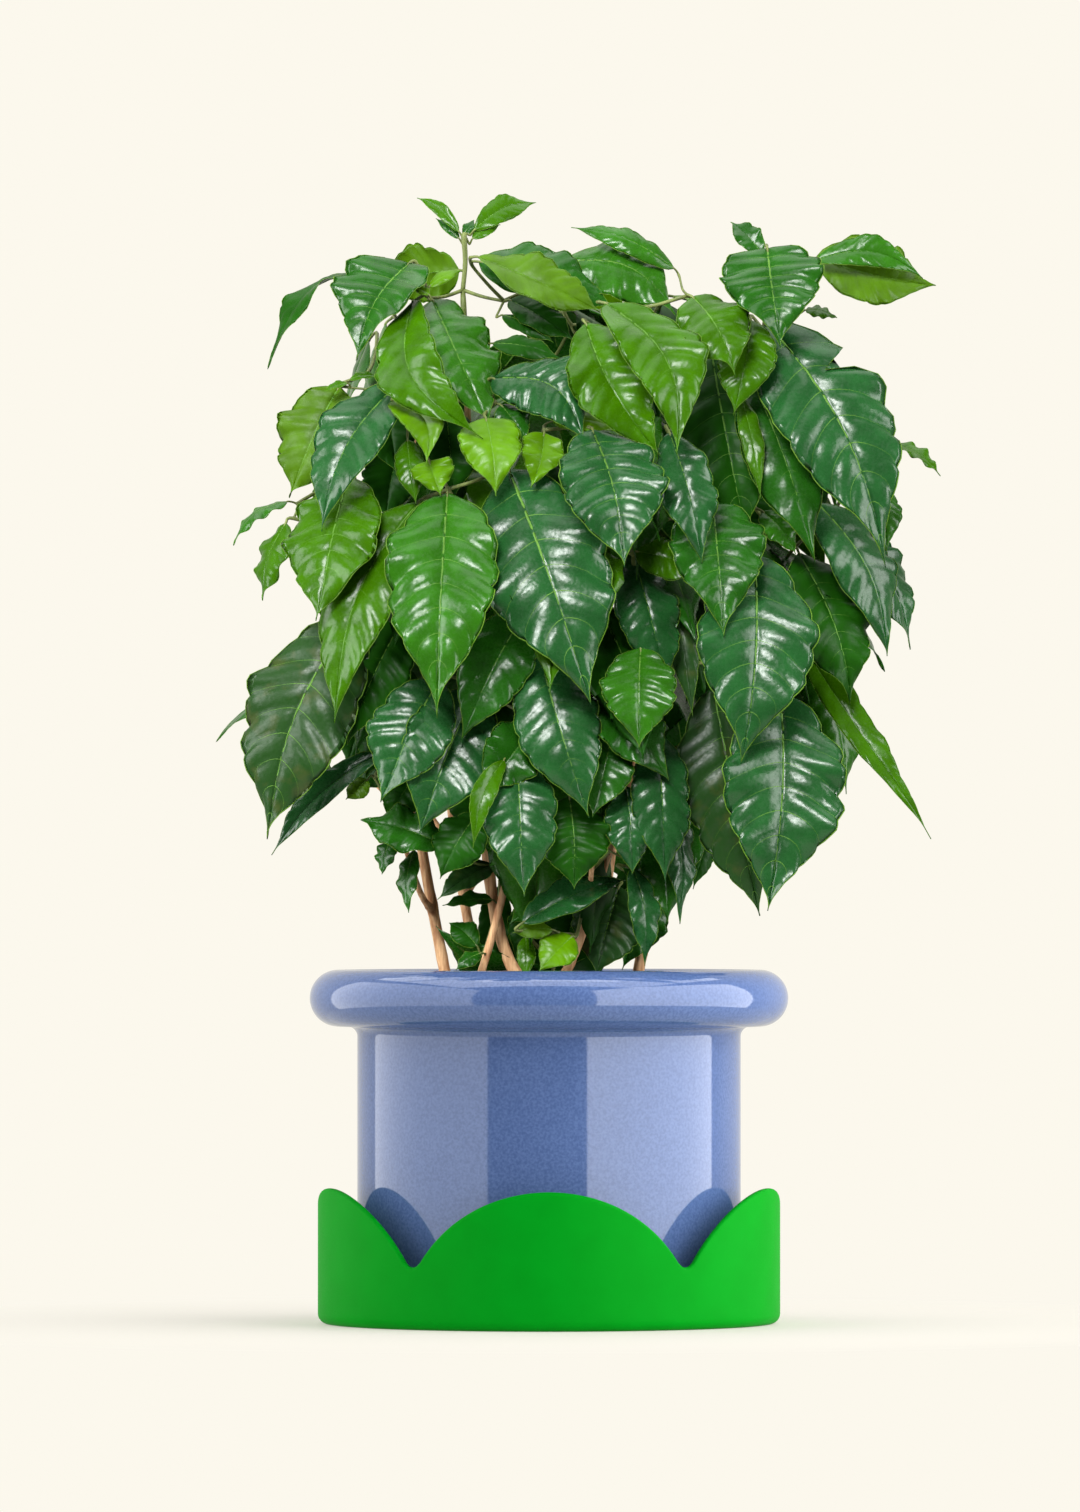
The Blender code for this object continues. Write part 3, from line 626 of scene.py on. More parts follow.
def smooth_path(marks: list, per_span: int) -> list[Vector]:
    """A Catmull-Rom curve through the marks, with per_span points on each span."""
    marks = [Vector(m) for m in marks]
    ends = [2 * marks[0] - marks[1], *marks, 2 * marks[-1] - marks[-2]]
    path = []
    for before, start, end, after in zip(ends, ends[1:], ends[2:], ends[3:]):
        for k in range(per_span):
            t = k / per_span
            path.append(
                0.5
                * (
                    2 * start
                    + (end - before) * t
                    + (2 * before - 5 * start + 4 * end - after) * t**2
                    + (3 * start - before - 3 * end + after) * t**3
                )
            )
    return [*path, marks[-1]]


def tube(path: np.ndarray, radii: np.ndarray, sides: int) -> tuple[np.ndarray, list]:
    """A closed tube along a path.

    Args:
        path: Points on the centre line.
        radii: The radius at each point, or at each point and side.
        sides: Points round the tube.

    Returns:
        The tube's points and faces.
    """
    ahead = np.gradient(path, axis=0)
    ahead /= np.linalg.norm(ahead, axis=1, keepdims=True)
    across = np.cross(ahead, np.array([0.13, 0.97, 0.2]))
    across /= np.linalg.norm(across, axis=1, keepdims=True)
    over = np.cross(ahead, across)
    turn = 2 * np.pi * np.arange(sides) / sides
    radii = radii.reshape(len(path), -1)
    ring = (
        across[:, None, :] * (np.cos(turn)[None, :] * radii)[:, :, None]
        + over[:, None, :] * (np.sin(turn)[None, :] * radii)[:, :, None]
    )
    points = (path[:, None, :] + ring).reshape(-1, 3)
    return points, sleeve_faces(len(path), sides)


def sleeve_faces(rows: int, sides: int) -> list:
    """Faces of a closed sleeve of rings, with both ends capped."""
    faces = []
    for row in range(rows - 1):
        for k in range(sides):
            a, b = row * sides + k, row * sides + (k + 1) % sides
            faces.append((a, b, b + sides, a + sides))
    faces.append(tuple(range(sides - 1, -1, -1)))
    faces.append(tuple((rows - 1) * sides + k for k in range(sides)))
    return faces


class Batch:
    """Points and faces of many small things that become one piece."""

    def __init__(self) -> None:
        """Starts empty."""
        self.points: list[np.ndarray] = []
        self.faces: list = []
        self.count = 0

    def add(self, points: np.ndarray, faces: list) -> None:
        """Adds one thing's points and faces."""
        base = self.count
        self.points.append(points)
        self.faces.extend(tuple(base + index for index in face) for face in faces)
        self.count += len(points)

    def piece(self, name: str) -> bpy.types.Object:
        """Makes the piece, shaded smooth."""
        return mesh_piece(name, np.concatenate(self.points), self.faces, smooth=True)


@dataclass
class Limbs:
    """Stems and boughs in ridged bark, on the same centre lines as the part's own limbs."""

    ground: float = 190.3
    node_gap: float = 0.030
    node_swell: float = 0.16
    ridge: float = 0.07
    sides: int = 14
    stems: dict = field(default_factory=dict)
    boughs: dict = field(default_factory=dict)

    def stem_path(self, stem: Stem) -> list[Vector]:
        """A stem's centre line, upright where it leaves the soil."""
        marks = [(*stem.foot, self.ground), (*stem.foot, self.ground + 8), stem.knee, stem.tip]
        return smooth_path([Vector(m) * MM for m in marks], 14)

    def bough_path(self, bough: Bough) -> tuple[list[Vector], float]:
        """A bough's centre line out of its stem, and its radius at the foot."""
        path, radii = self.stems[bough.stem]
        index = next(k for k in range(1, len(path)) if path[k].z >= bough.leaves_at * MM)
        share = (bough.leaves_at * MM - path[index - 1].z) / (path[index].z - path[index - 1].z)
        origin = path[index - 1].lerp(path[index], share)
        radius = 0.8 * radii[index - 1]
        tip = Vector(bough.tip) * MM
        up = (path[index] - path[index - 1]).normalized()
        heading = ((tip - origin).normalized() + 0.35 * up).normalized()
        start = origin + heading * radii[index - 1] * 0.4
        middle = start + (tip - start) * 0.5 - Vector((0, 0, 1)) * (tip - origin).length * 0.07
        return smooth_path([start, start + heading * 0.008, middle, tip], 10), radius

    def bark(self, path: list[Vector], foot: float, tip: float, flare: float, rng: random.Random) -> tuple:
        """A limb's tube: tapered, swollen at its nodes, ridged along its length.

        Args:
            path: The centre line.
            foot: Radius at the foot.
            tip: Radius at the tip.
            flare: How much wider the foot spreads on the ground.
            rng: Draws the phase of the nodes and ridges.

        Returns:
            The tube's points and faces.
        """
        line = np.array([tuple(p) for p in path])
        run = np.concatenate([[0.0], np.cumsum(np.linalg.norm(np.diff(line, axis=0), axis=1))])
        radii = foot + (tip - foot) * run / run[-1]
        radii *= 1.0 + (flare - 1.0) * np.exp(-run / 0.006)
        phase = rng.random()
        to_node = np.abs((run / self.node_gap + phase) % 1.0 - 0.5) * self.node_gap
        radii *= 1.0 + self.node_swell * np.exp(-((to_node / 0.0022) ** 2))
        turn = 2 * np.pi * np.arange(self.sides) / self.sides
        wander = 0.5 * np.sin(run * 40 + phase * 9)
        ridges = 1.0 + self.ridge * np.sin(3 * turn[None, :] + wander[:, None]) * 0.6
        ridges += self.ridge * 0.5 * np.sin(5 * turn[None, :] - run[:, None] * 25 + phase * 5)
        return tube(line, radii[:, None] * ridges, self.sides)

    def build(self) -> list[bpy.types.Object]:
        """Makes the stems and the boughs, one piece each kind. Returns both pieces."""
        rng = random.Random(SEED)
        finish = BARK.dress()
        batch = Batch()
        for stem in STEMS:
            path = self.stem_path(stem)
            foot, tip = stem.foot_radius * MM, stem.tip_radius * MM
            radii = [foot + (tip - foot) * k / (len(path) - 1) for k in range(len(path))]
            self.stems[stem.name] = (path, radii)
            batch.add(*self.bark(path, foot, tip, 1.5, rng))
        nodes = ["stem_" + stem.name for stem in STEMS]
        pieces = [put_together(batch.piece("bark_stems"), finish, nodes)]
        batch = Batch()
        for bough in BOUGHS:
            path, radius = self.bough_path(bough)
            self.boughs[bough.name] = path
            batch.add(*self.bark(path, radius, 1.4 * MM, 1.25, rng))
        nodes = ["bough_" + bough.name for bough in BOUGHS]
        return [*pieces, put_together(batch.piece("bark_boughs"), finish, nodes)]

    def roots(self) -> dict[str, tuple[Vector, Vector]]:
        """Where each mass of leaves begins and how it heads, by the mass's name."""
        roots = {}
        for stem in STEMS:
            path = self.stems[stem.name][0]
            roots[stem.name + "_top"] = (path[-1], (path[-1] - path[-2]).normalized())
        for bough in BOUGHS:
            path = self.boughs[bough.name]
            roots[bough.name] = (path[-1], (path[-1] - path[-2]).normalized())
        return roots


class Plan(NamedTuple):
    """A leaf of the planting list, with lengths in millimetres and angles in degrees.

    It holds the blade's foot and tip (across, up), how far the foot is ahead of the stems, its width, the
    way it faces and is lifted, and its colour. Then come its shape's own traits: the sway of its middle to
    its left as it hangs and its arch, both as parts of its length, how its sides fold up, and its taper,
    which is less where the widest place is nearer the foot. Last is the place of a tear in its margin, as
    a part of its length, with a minus on the other side.
    """

    foot: tuple
    tip: tuple
    ahead: float
    width: float
    turn: float
    lift: float
    tone: Tone
    sway: float = 0.0
    arch: float = 0.10
    fold: float = 0.0
    taper: float = 0.85
    tear: float = 0.0


YOUNG, FRESH, MID, DEEP, TEAL, SHADE, OLIVE, AGED = Tone

PLANTING = {
    "high sprig": (
        Plan((-45, 656), (-8, 672), 32, 17, 20, 30, FRESH, -0.08, 0.10, 0.1, 1.0),
        Plan((-54, 655), (-79, 675), 30, 8, -30, 30, FRESH, 0.08, 0.12),
        Plan((-54, 651), (-68, 663), 24, 6, -40, 40, DEEP),
        Plan((-46, 651), (-29, 660), 36, 9, 20, 40, FRESH),
        Plan((-51, 653), (-45, 662), 20, 7, 0, 40, DEEP),
    ),
    "left crest": (
        Plan((-54, 632), (-106, 622), 14, 36, 168, 20, OLIVE),
        Plan((-112, 631), (-168, 571), 30, 28, -60, 50, SHADE, -0.06, 0.2, 0.0, 0.7),
        Plan((-84, 636), (-116, 579), 66, 56, -22, 34, DEEP, 0.02, 0.1, 0.3, 0.62),
        Plan((-82, 613), (-41, 533), 84, 40, -24, 34, FRESH, 0.2, 0.12, 0.15),
        Plan((-70, 614), (-35, 536), 62, 50, 20, 34, MID, 0.06),
        Plan((-72, 622), (-52, 632), 86, 9, 0, 40, YOUNG),
        Plan((-72, 617), (-81, 621), 88, 7, 0, 40, YOUNG),
    ),
    "centre crest": (
        Plan((-42, 637), (40, 607), 66, 38, 8, 26, DEEP, -0.03),
        Plan((-43, 640), (31, 607), 84, 33, 14, 34, OLIVE, 0.10, 0.14, 0.1, 1.1),
        Plan((-24, 614), (16, 588), 50, 24, 0, 40, SHADE),
        Plan((8, 637), (77, 605), 62, 44, 8, 30, MID, -0.13),
        Plan((-34, 567), (21, 528), 96, 44, -4, 28, TEAL, -0.19),
        Plan((-28, 605), (3, 588), 58, 14, 0, 40, SHADE),
        Plan((-34, 588), (8, 578), 80, 16, 0, 35, SHADE),
        Plan((75, 633), (13, 657), 58, 17, 10, 30, MID, 0.0, 0.16),
        Plan((22, 600), (67, 520), 92, 46, 2, 22, FRESH, 0.1),
        Plan((34, 612), (78, 525), 108, 48, 14, 30, FRESH, -0.15),
        Plan((2, 541), (44, 535), 104, 16, 10, 40, YOUNG),
    ),
    "right crest": (
        Plan((86, 616), (112, 570), 98, 44, 0, 38, FRESH, -0.06),
        Plan((121, 602), (110, 546), 86, 36, -12, 22, FRESH, -0.08),
        Plan((131, 645), (139, 587), 84, 60, 0, 40, DEEP, 0.0, 0.08, 0.2, 0.68),
        Plan((128, 642), (109, 661), 54, 16, 0, 30, DEEP),
        Plan((160, 638), (225, 628), 60, 20, 8, 20, MID, -0.10),
        Plan((160, 639), (232, 622), 44, 42, 8, 20, OLIVE, 0.04, 0.1, 0.1),
        Plan((154, 608), (173, 603), 40, 12, 20, 50, FRESH),
    ),
    "right flank": (
        Plan((131, 600), (204, 456), 74, 71, 12, 18, TEAL, -0.03, 0.1, 0.0, 0.74, -0.26),
        Plan((120, 570), (160, 457), 70, 44, 8, 18, DEEP),
        Plan((98, 580), (119, 470), 56, 60, 0, 14, SHADE),
        Plan((115, 557), (127, 495), 84, 13, 0, 20, FRESH),
        Plan((98, 492), (105, 412), 92, 56, 4, 38, DEEP, 0.0, 0.1, 0.1, 0.7),
        Plan((138, 520), (158, 468), 22, 40, 10, 14, DEEP),
        Plan((128, 487), (148, 461), 60, 20, 10, 30, MID),
        Plan((123, 462), (116, 337), 96, 70, 8, 14, TEAL),
        Plan((150, 462), (183, 372), 50, 50, 25, 15, SHADE),
        Plan((161, 492), (203, 400), 62, 44, 36, 12, TEAL, -0.04, 0.1, 0.0, 0.75),
        Plan((175, 480), (217, 404), 46, 34, 40, 14, TEAL, -0.06),
        Plan((206, 528), (235, 508), 4, 14, 30, 50, FRESH),
        Plan((139, 378), (131, 247), 88, 72, 8, 10, TEAL),
        Plan((98, 382), (126, 244), 60, 60, -16, -3, AGED),
        Plan((155, 402), (231, 293), 32, 22, 15, 25, FRESH, 0.03, 0.03, 0.2, 0.6),
        Plan((156, 402), (178, 317), 18, 38, 30, 15, MID),
        Plan((112, 508), (124, 462), 40, 32, 0, 14, SHADE),
        Plan((190, 512), (203, 462), 40, 26, 25, 12, MID),
    ),
    "centre": (
        Plan((-61, 498), (-68, 365), 112, 66, -6, 20, MID, 0.0, 0.1, 0.05, 0.75),
        Plan((-24, 512), (25, 372), 104, 76, -3, 15, TEAL),
        Plan((26, 536), (45, 453), 114, 62, 8, 26, TEAL),
        Plan((-5, 515), (26, 458), 90, 30, 0, 20, SHADE),
        Plan((72, 534), (92, 456), 96, 34, 6, 16, TEAL),
        Plan((52, 463), (93, 447), 106, 26, 10, 25, FRESH),
        Plan((71, 452), (86, 363), 70, 20, 12, 14, AGED),
        Plan((50, 464), (72, 380), 90, 38, 15, 14, TEAL),
        Plan((55, 405), (54, 345), 104, 44, 0, 16, MID),
        Plan((22, 382), (73, 326), 96, 38, 15, 16, DEEP),
        Plan((-91, 554), (-74, 515), 110, 27, -4, 24, YOUNG, -0.18, 0.08, 0.2, 0.65),
        Plan((-72, 517), (-65, 496), 108, 26, 0, 32, YOUNG, 0.0, 0.06, 0.15, 0.6),
        Plan((-38, 543), (-32, 496), 112, 37, 0, 22, YOUNG, 0.0, 0.08, 0.1, 0.6),
        Plan((-3, 534), (-11, 501), 112, 25, 4, 20, YOUNG, -0.05, 0.06, 0.15, 0.62),
        Plan((-29, 551), (-13, 529), 98, 22, 10, 24, DEEP),
        Plan((-85, 530), (-80, 492), 96, 18, -4, 20, FRESH),
        Plan((-86, 532), (-98, 480), 44, 36, -10, 14, SHADE),
        Plan((50, 588), (66, 540), 62, 36, 0, 14, SHADE),
    ),
    "left flank": (
        Plan((-78, 493), (-128, 359), 96, 48, -20, 16, FRESH, 0.05),
        Plan((-120, 508), (-139, 420), 84, 60, -26, 26, FRESH),
        Plan((-90, 564), (-138, 477), 90, 44, -18, 26, TEAL, 0.08),
        Plan((-126, 562), (-156, 495), 46, 48, -14, 12, OLIVE),
        Plan((-120, 566), (-101, 568), 60, 6, 0, 45, FRESH),
        Plan((-121, 564), (-135, 559), 60, 6, -10, 45, FRESH),
        Plan((-157, 493), (-190, 467), 16, 16, -50, 50, MID, 0.0, 0.16),
        Plan((-158, 480), (-171, 433), 32, 26, -50, 14, FRESH),
        Plan((-117, 424), (-169, 290), 80, 68, -18, 6, AGED, 0.04),
        Plan((-88, 422), (-122, 347), 78, 40, -10, 10, SHADE),
        Plan((-86, 394), (-110, 326), 40, 44, -10, 10, SHADE),
        Plan((-100, 392), (-122, 332), 26, 40, -12, 10, SHADE),
        Plan((-66, 386), (-101, 312), 98, 50, -10, 14, TEAL),
        Plan((-44, 380), (-78, 293), 86, 56, 10, 12, TEAL),
        Plan((-100, 343), (-167, 281), 54, 19, -20, 20, TEAL, 0.03, 0.08, 0.4),
        Plan((-88, 352), (-116, 318), 36, 28, -20, 15, SHADE),
        Plan((-72, 338), (-98, 300), 60, 34, -15, 16, SHADE),
        Plan((-109, 326), (-122, 314), 50, 14, -10, 20, OLIVE),
        Plan((-130, 386), (-201, 350), 10, 26, -60, 50, DEEP),
    ),
    "skirt": (
        Plan((-12, 430), (-53, 349), 92, 42, 4, 14, DEEP),
        Plan((-64, 287), (-113, 301), 84, 32, -8, 36, DEEP),
        Plan((-95, 291), (-100, 269), 58, 14, -30, 14, DEEP),
        Plan((-81, 284), (-84, 246), 50, 14, -30, 14, DEEP),
        Plan((-43, 306), (-66, 267), 84, 32, -12, 14, SHADE),
        Plan((-8, 360), (-42, 318), 94, 36, 10, 12, DEEP),
        Plan((-27, 338), (-45, 285), 110, 14, 15, 12, FRESH, 0.10, 0.12),
        Plan((-19, 342), (-15, 255), 98, 44, 4, 12, TEAL),
        Plan((-6, 404), (24, 303), 94, 50, 4, 14, TEAL),
        Plan((12, 316), (15, 260), 86, 43, 0, 10, SHADE),
        Plan((38, 354), (26, 303), 92, 34, 0, 12, DEEP),
        Plan((28, 340), (36, 280), 20, 42, 0, 12, SHADE),
        Plan((46, 322), (50, 269), 86, 30, 6, 10, TEAL),
        Plan((68, 324), (77, 239), 60, 22, 40, 8, TEAL),
        Plan((66, 354), (70, 264), 74, 36, 14, 10, TEAL),
        Plan((64, 300), (71, 240), 46, 30, 16, 10, DEEP),
        Plan((86, 350), (77, 256), 36, 32, 10, 12, DEEP),
        Plan((50, 274), (57, 214), 70, 19, 20, 6, TEAL, 0.0, 0.14),
        Plan((-16, 240), (46, 267), 76, 26, 0, 40, TEAL),
        Plan((2, 236), (-22, 234), 70, 12, 0, 30, OLIVE),
        Plan((-33, 275), (-67, 254), 48, 19, 0, 40, AGED),
        Plan((-34, 254), (-64, 250), 40, 11, 0, 40, SHADE),
        Plan((-43, 226), (-60, 240), 44, 17, 0, 30, SHADE, 0.0, 0.1, 0.0, 0.95),
        Plan((-41, 222), (-56, 212), 52, 10, 0, 30, DEEP),
        Plan((14, 232), (-6, 211), 66, 24, 0, 30, YOUNG),
        Plan((-14, 232), (-14, 206), 50, 11, 0, 20, FRESH),
        Plan((42, 262), (28, 208), 18, 42, 0, 15, AGED),
        Plan((8, 262), (-24, 240), 40, 24, 0, 25, MID),
        Plan((-2, 262), (-20, 214), 6, 26, 0, 12, SHADE),
        Plan((22, 268), (6, 214), 2, 34, 0, 12, SHADE),
        Plan((62, 268), (44, 212), 0, 34, 8, 12, DEEP),
        Plan((44, 272), (66, 238), -8, 28, 10, 12, SHADE),
        Plan((52, 300), (68, 262), 40, 30, 10, 14, DEEP),
        Plan((-30, 262), (-36, 210), -4, 20, 0, 12, SHADE),
        Plan((-42, 336), (-50, 292), 62, 38, 0, 12, SHADE),
        Plan((98, 304), (86, 260), -10, 18, 20, 10, SHADE),
    ),
    "heart": (
        Plan((-62, 548), (-57, 494), 72, 38, 0, 14, SHADE),
        Plan((-96, 552), (-90, 508), 62, 30, -8, 14, SHADE),
    ),
    "left side": (
        Plan((-108, 590), (-118, 500), -8, 48, -80, 6, DEEP),
        Plan((-98, 600), (-107, 520), -44, 44, -84, 6, MID),
        Plan((-122, 520), (-131, 425), 12, 50, -76, 5, MID),
        Plan((-120, 512), (-129, 412), -34, 50, -84, 5, DEEP),
        Plan((-112, 470), (-120, 370), 44, 46, -70, 5, SHADE),
        Plan((-124, 430), (-133, 325), 20, 52, -76, 5, DEEP),
        Plan((-122, 424), (-131, 322), -22, 52, -86, 5, SHADE),
    ),
}

# Green shoots that carry a mass on upwards from its root, each to its end, in mm.
SHOOTS = {"front_left_top": (-51, -33, 652), "right_crest": (131, -62, 636)}

# Gaps in the crown through which the photograph shows the background: left, low, right and high, in mm.
SKY = (
    (-50, 608, -28, 621),
    (-37, 588, -12, 604),
    (-165, 566, -116, 602),
    (-205, 497, -162, 535),
    (80, 618, 103, 646),
    (-104, 212, -38, 272),
    (-215, 360, -178, 462),
    (-215, 212, -106, 302),
    (-215, 410, -142, 436),
    (84, 212, 92, 300),
    (92, 212, 240, 244),
)


@dataclass
class Leaf:
    """One leaf: its blade's line and width, the way it faces, and how it curves."""

    foot: Vector
    tip: Vector
    width: float
    face: Vector
    tone: Tone
    sway: float = 0.0
    arch: float = 0.10
    fold: float = 0.0
    taper: float = 0.85
    tear: float = 0.0
    hero: bool = True
    relief: float = 1.0
    wave: float = 0.0
    waves: float = 2.0
    phase: float = 0.0
    hook: float = 0.0
    twist: float = 0.0

    def frame(self) -> tuple[np.ndarray, np.ndarray, np.ndarray, float]:
        """The blade's directions along, out of its face and to its side, and its length."""
        chord = self.tip - self.foot
        line = chord.normalized()
        face = (self.face - self.face.dot(line) * line).normalized()
        return np.array(line), np.array(face), np.array(line.cross(face)), chord.length

    def moved(self, step: Vector) -> "Leaf":
        """The same leaf somewhere else."""
        fields = {**self.__dict__, "foot": self.foot + step, "tip": self.tip + step}
        return Leaf(**fields)


def half_width(along: np.ndarray, taper: float) -> np.ndarray:
    """Half the blade's width as a part of the full width: round at the foot, hollow towards the drip tip."""
    along = np.clip(along, 0.0, 1.0)
    return 0.5 * np.clip(np.sin(np.pi * along**taper), 0.0, 1.0) ** (0.72 + 1.05 * along**2.6)


@dataclass(frozen=True)
class BladeShape:
    """How a blade is modelled: its cross-section, the panels that bulge between its side veins, its mesh.

    A place on a blade is a row, from 0 at the foot to 1 at the tip, and across, from -1 to 1. A row runs
    along a side vein: it leans ahead towards the margin.
    """

    rise: float = 0.13
    fall: float = 0.27
    veins: int = 9
    lean: float = 0.15
    bulge: float = 0.0016
    frill: float = 0.085
    flutter: float = 0.030
    swell: float = 0.035
    tear_depth: float = 0.8
    thickness: float = 0.0005
    veined_from: float = 0.024
    hero_rows: int = 5
    plain_rows: int = 2
    hero_across: tuple = (0.0, 0.045, 0.13, 0.28, 0.44, 0.60, 0.76, 0.90, 1.0)
    plain_across: tuple = (0.0, 0.10, 0.50, 0.85, 1.0)

    def surface(self, leaf: Leaf, row: np.ndarray, across: np.ndarray) -> np.ndarray:
        """Points of the blade's middle surface.

        Args:
            leaf: The leaf.
            row: Rows, from 0 to 1.
            across: Places across the blade, from -1 to 1, of the same shape.

        Returns:
            An array of points with one more dimension.
        """
        line, face, side, length = leaf.frame()
        row, across = np.asarray(row, float)[..., None], np.asarray(across, float)[..., None]
        wing = np.abs(across)
        along = row + self.lean * 4 * row * (1 - row) * wing**1.5
        arch = np.abs(np.sin(np.pi * row * self.veins)) ** 0.8
        outline = half_width(along, leaf.taper)
        uneven = 1 + 0.5 * np.sin(7.3 * along * self.veins + leaf.phase + np.sign(across))
        ripple = np.sin(2 * np.pi * leaf.waves * along + leaf.phase + np.where(across > 0, 0.0, 2.1))
        crimp = 0.4 + 0.6 * leaf.relief
        hem = 1 + crimp * self.frill * uneven * (arch - 0.6) * wing**3 + self.swell * ripple * wing**2
        if leaf.tear:
            torn = np.exp(-(((along - abs(leaf.tear)) / 0.036) ** 2)) * (across * leaf.tear > 0)
            hem = hem - self.tear_depth * torn * wing**2
        half = outline * leaf.width * hem
        turn = leaf.twist * (along - 0.4)
        up = face * np.cos(turn) + side * np.sin(turn)
        out = side * np.cos(turn) - face * np.sin(turn)
        bow = leaf.arch * length * np.sin(np.pi * along)
        hook = leaf.hook * length * np.clip((along - 0.7) / 0.3, 0.0, 1.0) ** 2
        centre = np.array(leaf.foot) + line * length * along + face * (bow - hook)
        centre = centre + side * leaf.sway * length * np.sin(np.pi * along)
        rise = half * ((self.rise + leaf.fold) * wing - (self.fall - 0.4 * leaf.fold) * wing**2)
        wave = leaf.wave * wing**2.2 * ripple * np.sqrt(np.clip(np.sin(np.pi * along), 0, 1))
        wave = wave + crimp * self.flutter * leaf.width * wing**4 * uneven * (arch - 0.5) * 2 * outline
        size = leaf.relief * self.bulge * leaf.width / 0.066 * (0.2 + 0.8 * uneven)
        quilt = size * (arch - 0.5) * np.clip(wing * 5, 0, 1) * (1 - 0.35 * wing**4) * 2 * outline
        groove = -0.5 * size * np.clip(1 - wing * 8, 0, 1)
        return centre + out * half * across + up * (rise + wave + quilt + groove)

    def normals(self, leaf: Leaf, row: np.ndarray, across: np.ndarray) -> np.ndarray:
        """Unit normals of the middle surface, out of the leaf's face."""
        step = 0.004
        ahead = self.surface(leaf, row + step, across) - self.surface(leaf, row - step, across)
        aside = self.surface(leaf, row, across + step) - self.surface(leaf, row, across - step)
        normal = np.cross(ahead, aside)
        normal /= np.maximum(np.linalg.norm(normal, axis=-1, keepdims=True), 1e-12)
        facing = np.sign((normal * np.array(leaf.face)).sum(-1).mean())
        return normal * (facing if facing else 1.0)

    def blade(self, leaf: Leaf) -> tuple[np.ndarray, list]:
        """A blade's points and faces: a closed thin sleeve, top and underside."""
        count = self.veins * (self.hero_rows if leaf.hero else self.plain_rows)
        rows = np.clip(np.linspace(0.0, 1.0, count + 1), 0.003, 0.998)
        half = np.array(self.hero_across if leaf.hero else self.plain_across)
        u, v = np.meshgrid(rows, np.concatenate([-half[:0:-1], half]), indexing="ij")
        middle = self.surface(leaf, u, v)
        normal = self.normals(leaf, u, v)
        thick = (0.5 * self.thickness * (1.0 - v**4))[..., None] * normal
        under = (middle - thick)[:, 1:-1][:, ::-1]
        rings = np.concatenate([middle + thick, under], axis=1)
        return rings.reshape(-1, 3), sleeve_faces(count + 1, rings.shape[1])

    def rib(self, leaf: Leaf, row: np.ndarray, across: np.ndarray, wide: np.ndarray, proud: float) -> tuple:
        """A rib on the blade: a four-sided closed sleeve along a line on its surface.

        Args:
            leaf: The leaf.
            row: The line's rows.
            across: The line's places across the blade.
            wide: Half the rib's width at each place, in metres.
            proud: How far it stands out of the blade on both sides, as a part of its half width.

        Returns:
            The rib's points and faces.
        """
        spine = self.surface(leaf, row, across)
        normal = self.normals(leaf, row, across)
        ahead = np.gradient(spine, axis=0)
        aside = np.cross(normal, ahead)
        aside /= np.maximum(np.linalg.norm(aside, axis=1, keepdims=True), 1e-12)
        wide = wide[:, None]
        ring = [spine - aside * wide, spine + normal * wide * proud, spine + aside * wide, spine - normal * wide * proud]
        rings = np.stack(ring, axis=1)
        return rings.reshape(-1, 3), sleeve_faces(len(spine), 4)

    def ribs(self, leaf: Leaf, batch: Batch) -> None:
        """Adds a leaf's midrib, and the side veins of a leaf that is seen close."""
        scale = max(0.45, leaf.width / 0.066)
        row = np.linspace(0.0, 0.985, 40 if leaf.hero else 16)
        batch.add(*self.rib(leaf, row, 0 * row, 0.0010 * scale * (1.15 - row), 0.95))
        if not leaf.hero or leaf.width < self.veined_from:
            return
        reach = np.array([0.02, *self.hero_across[2:-1], 0.96])
        for k in range(1, self.veins):
            for side in (-1.0, 1.0):
                wide = 0.00040 * scale * (1.1 - 0.8 * reach)
                batch.add(*self.rib(leaf, np.full_like(reach, k / self.veins), side * reach, wide, 1.15))

    def edges(self, leaf: Leaf, batch: Batch) -> None:
        """Adds the thin pale line along both margins of a leaf."""
        row = np.linspace(0.0, 1.0, self.veins * self.hero_rows + 1)[1:-1]
        wide = np.full_like(row, 0.00030 * max(0.6, leaf.width / 0.066))
        for side in (-1.0, 1.0):
            batch.add(*self.rib(leaf, row, side * np.ones_like(row), wide, 0.7))


def facing(turn: float, lift: float) -> Vector:
    """A unit vector that faces the front, turned to the right and lifted, in degrees."""
    a, b = math.radians(turn), math.radians(lift)
    return Vector((math.sin(a) * math.cos(b), -math.cos(a) * math.cos(b), math.sin(b)))


def on_sight(place: Vector) -> Vector:
    """Moves a place at its depth to where the camera sees it over the same place on the stems' plane."""
    share = 1.0 + place.y / -EYE.y
    return Vector((place.x * share, place.y, EYE.z + (place.z - EYE.z) * share))


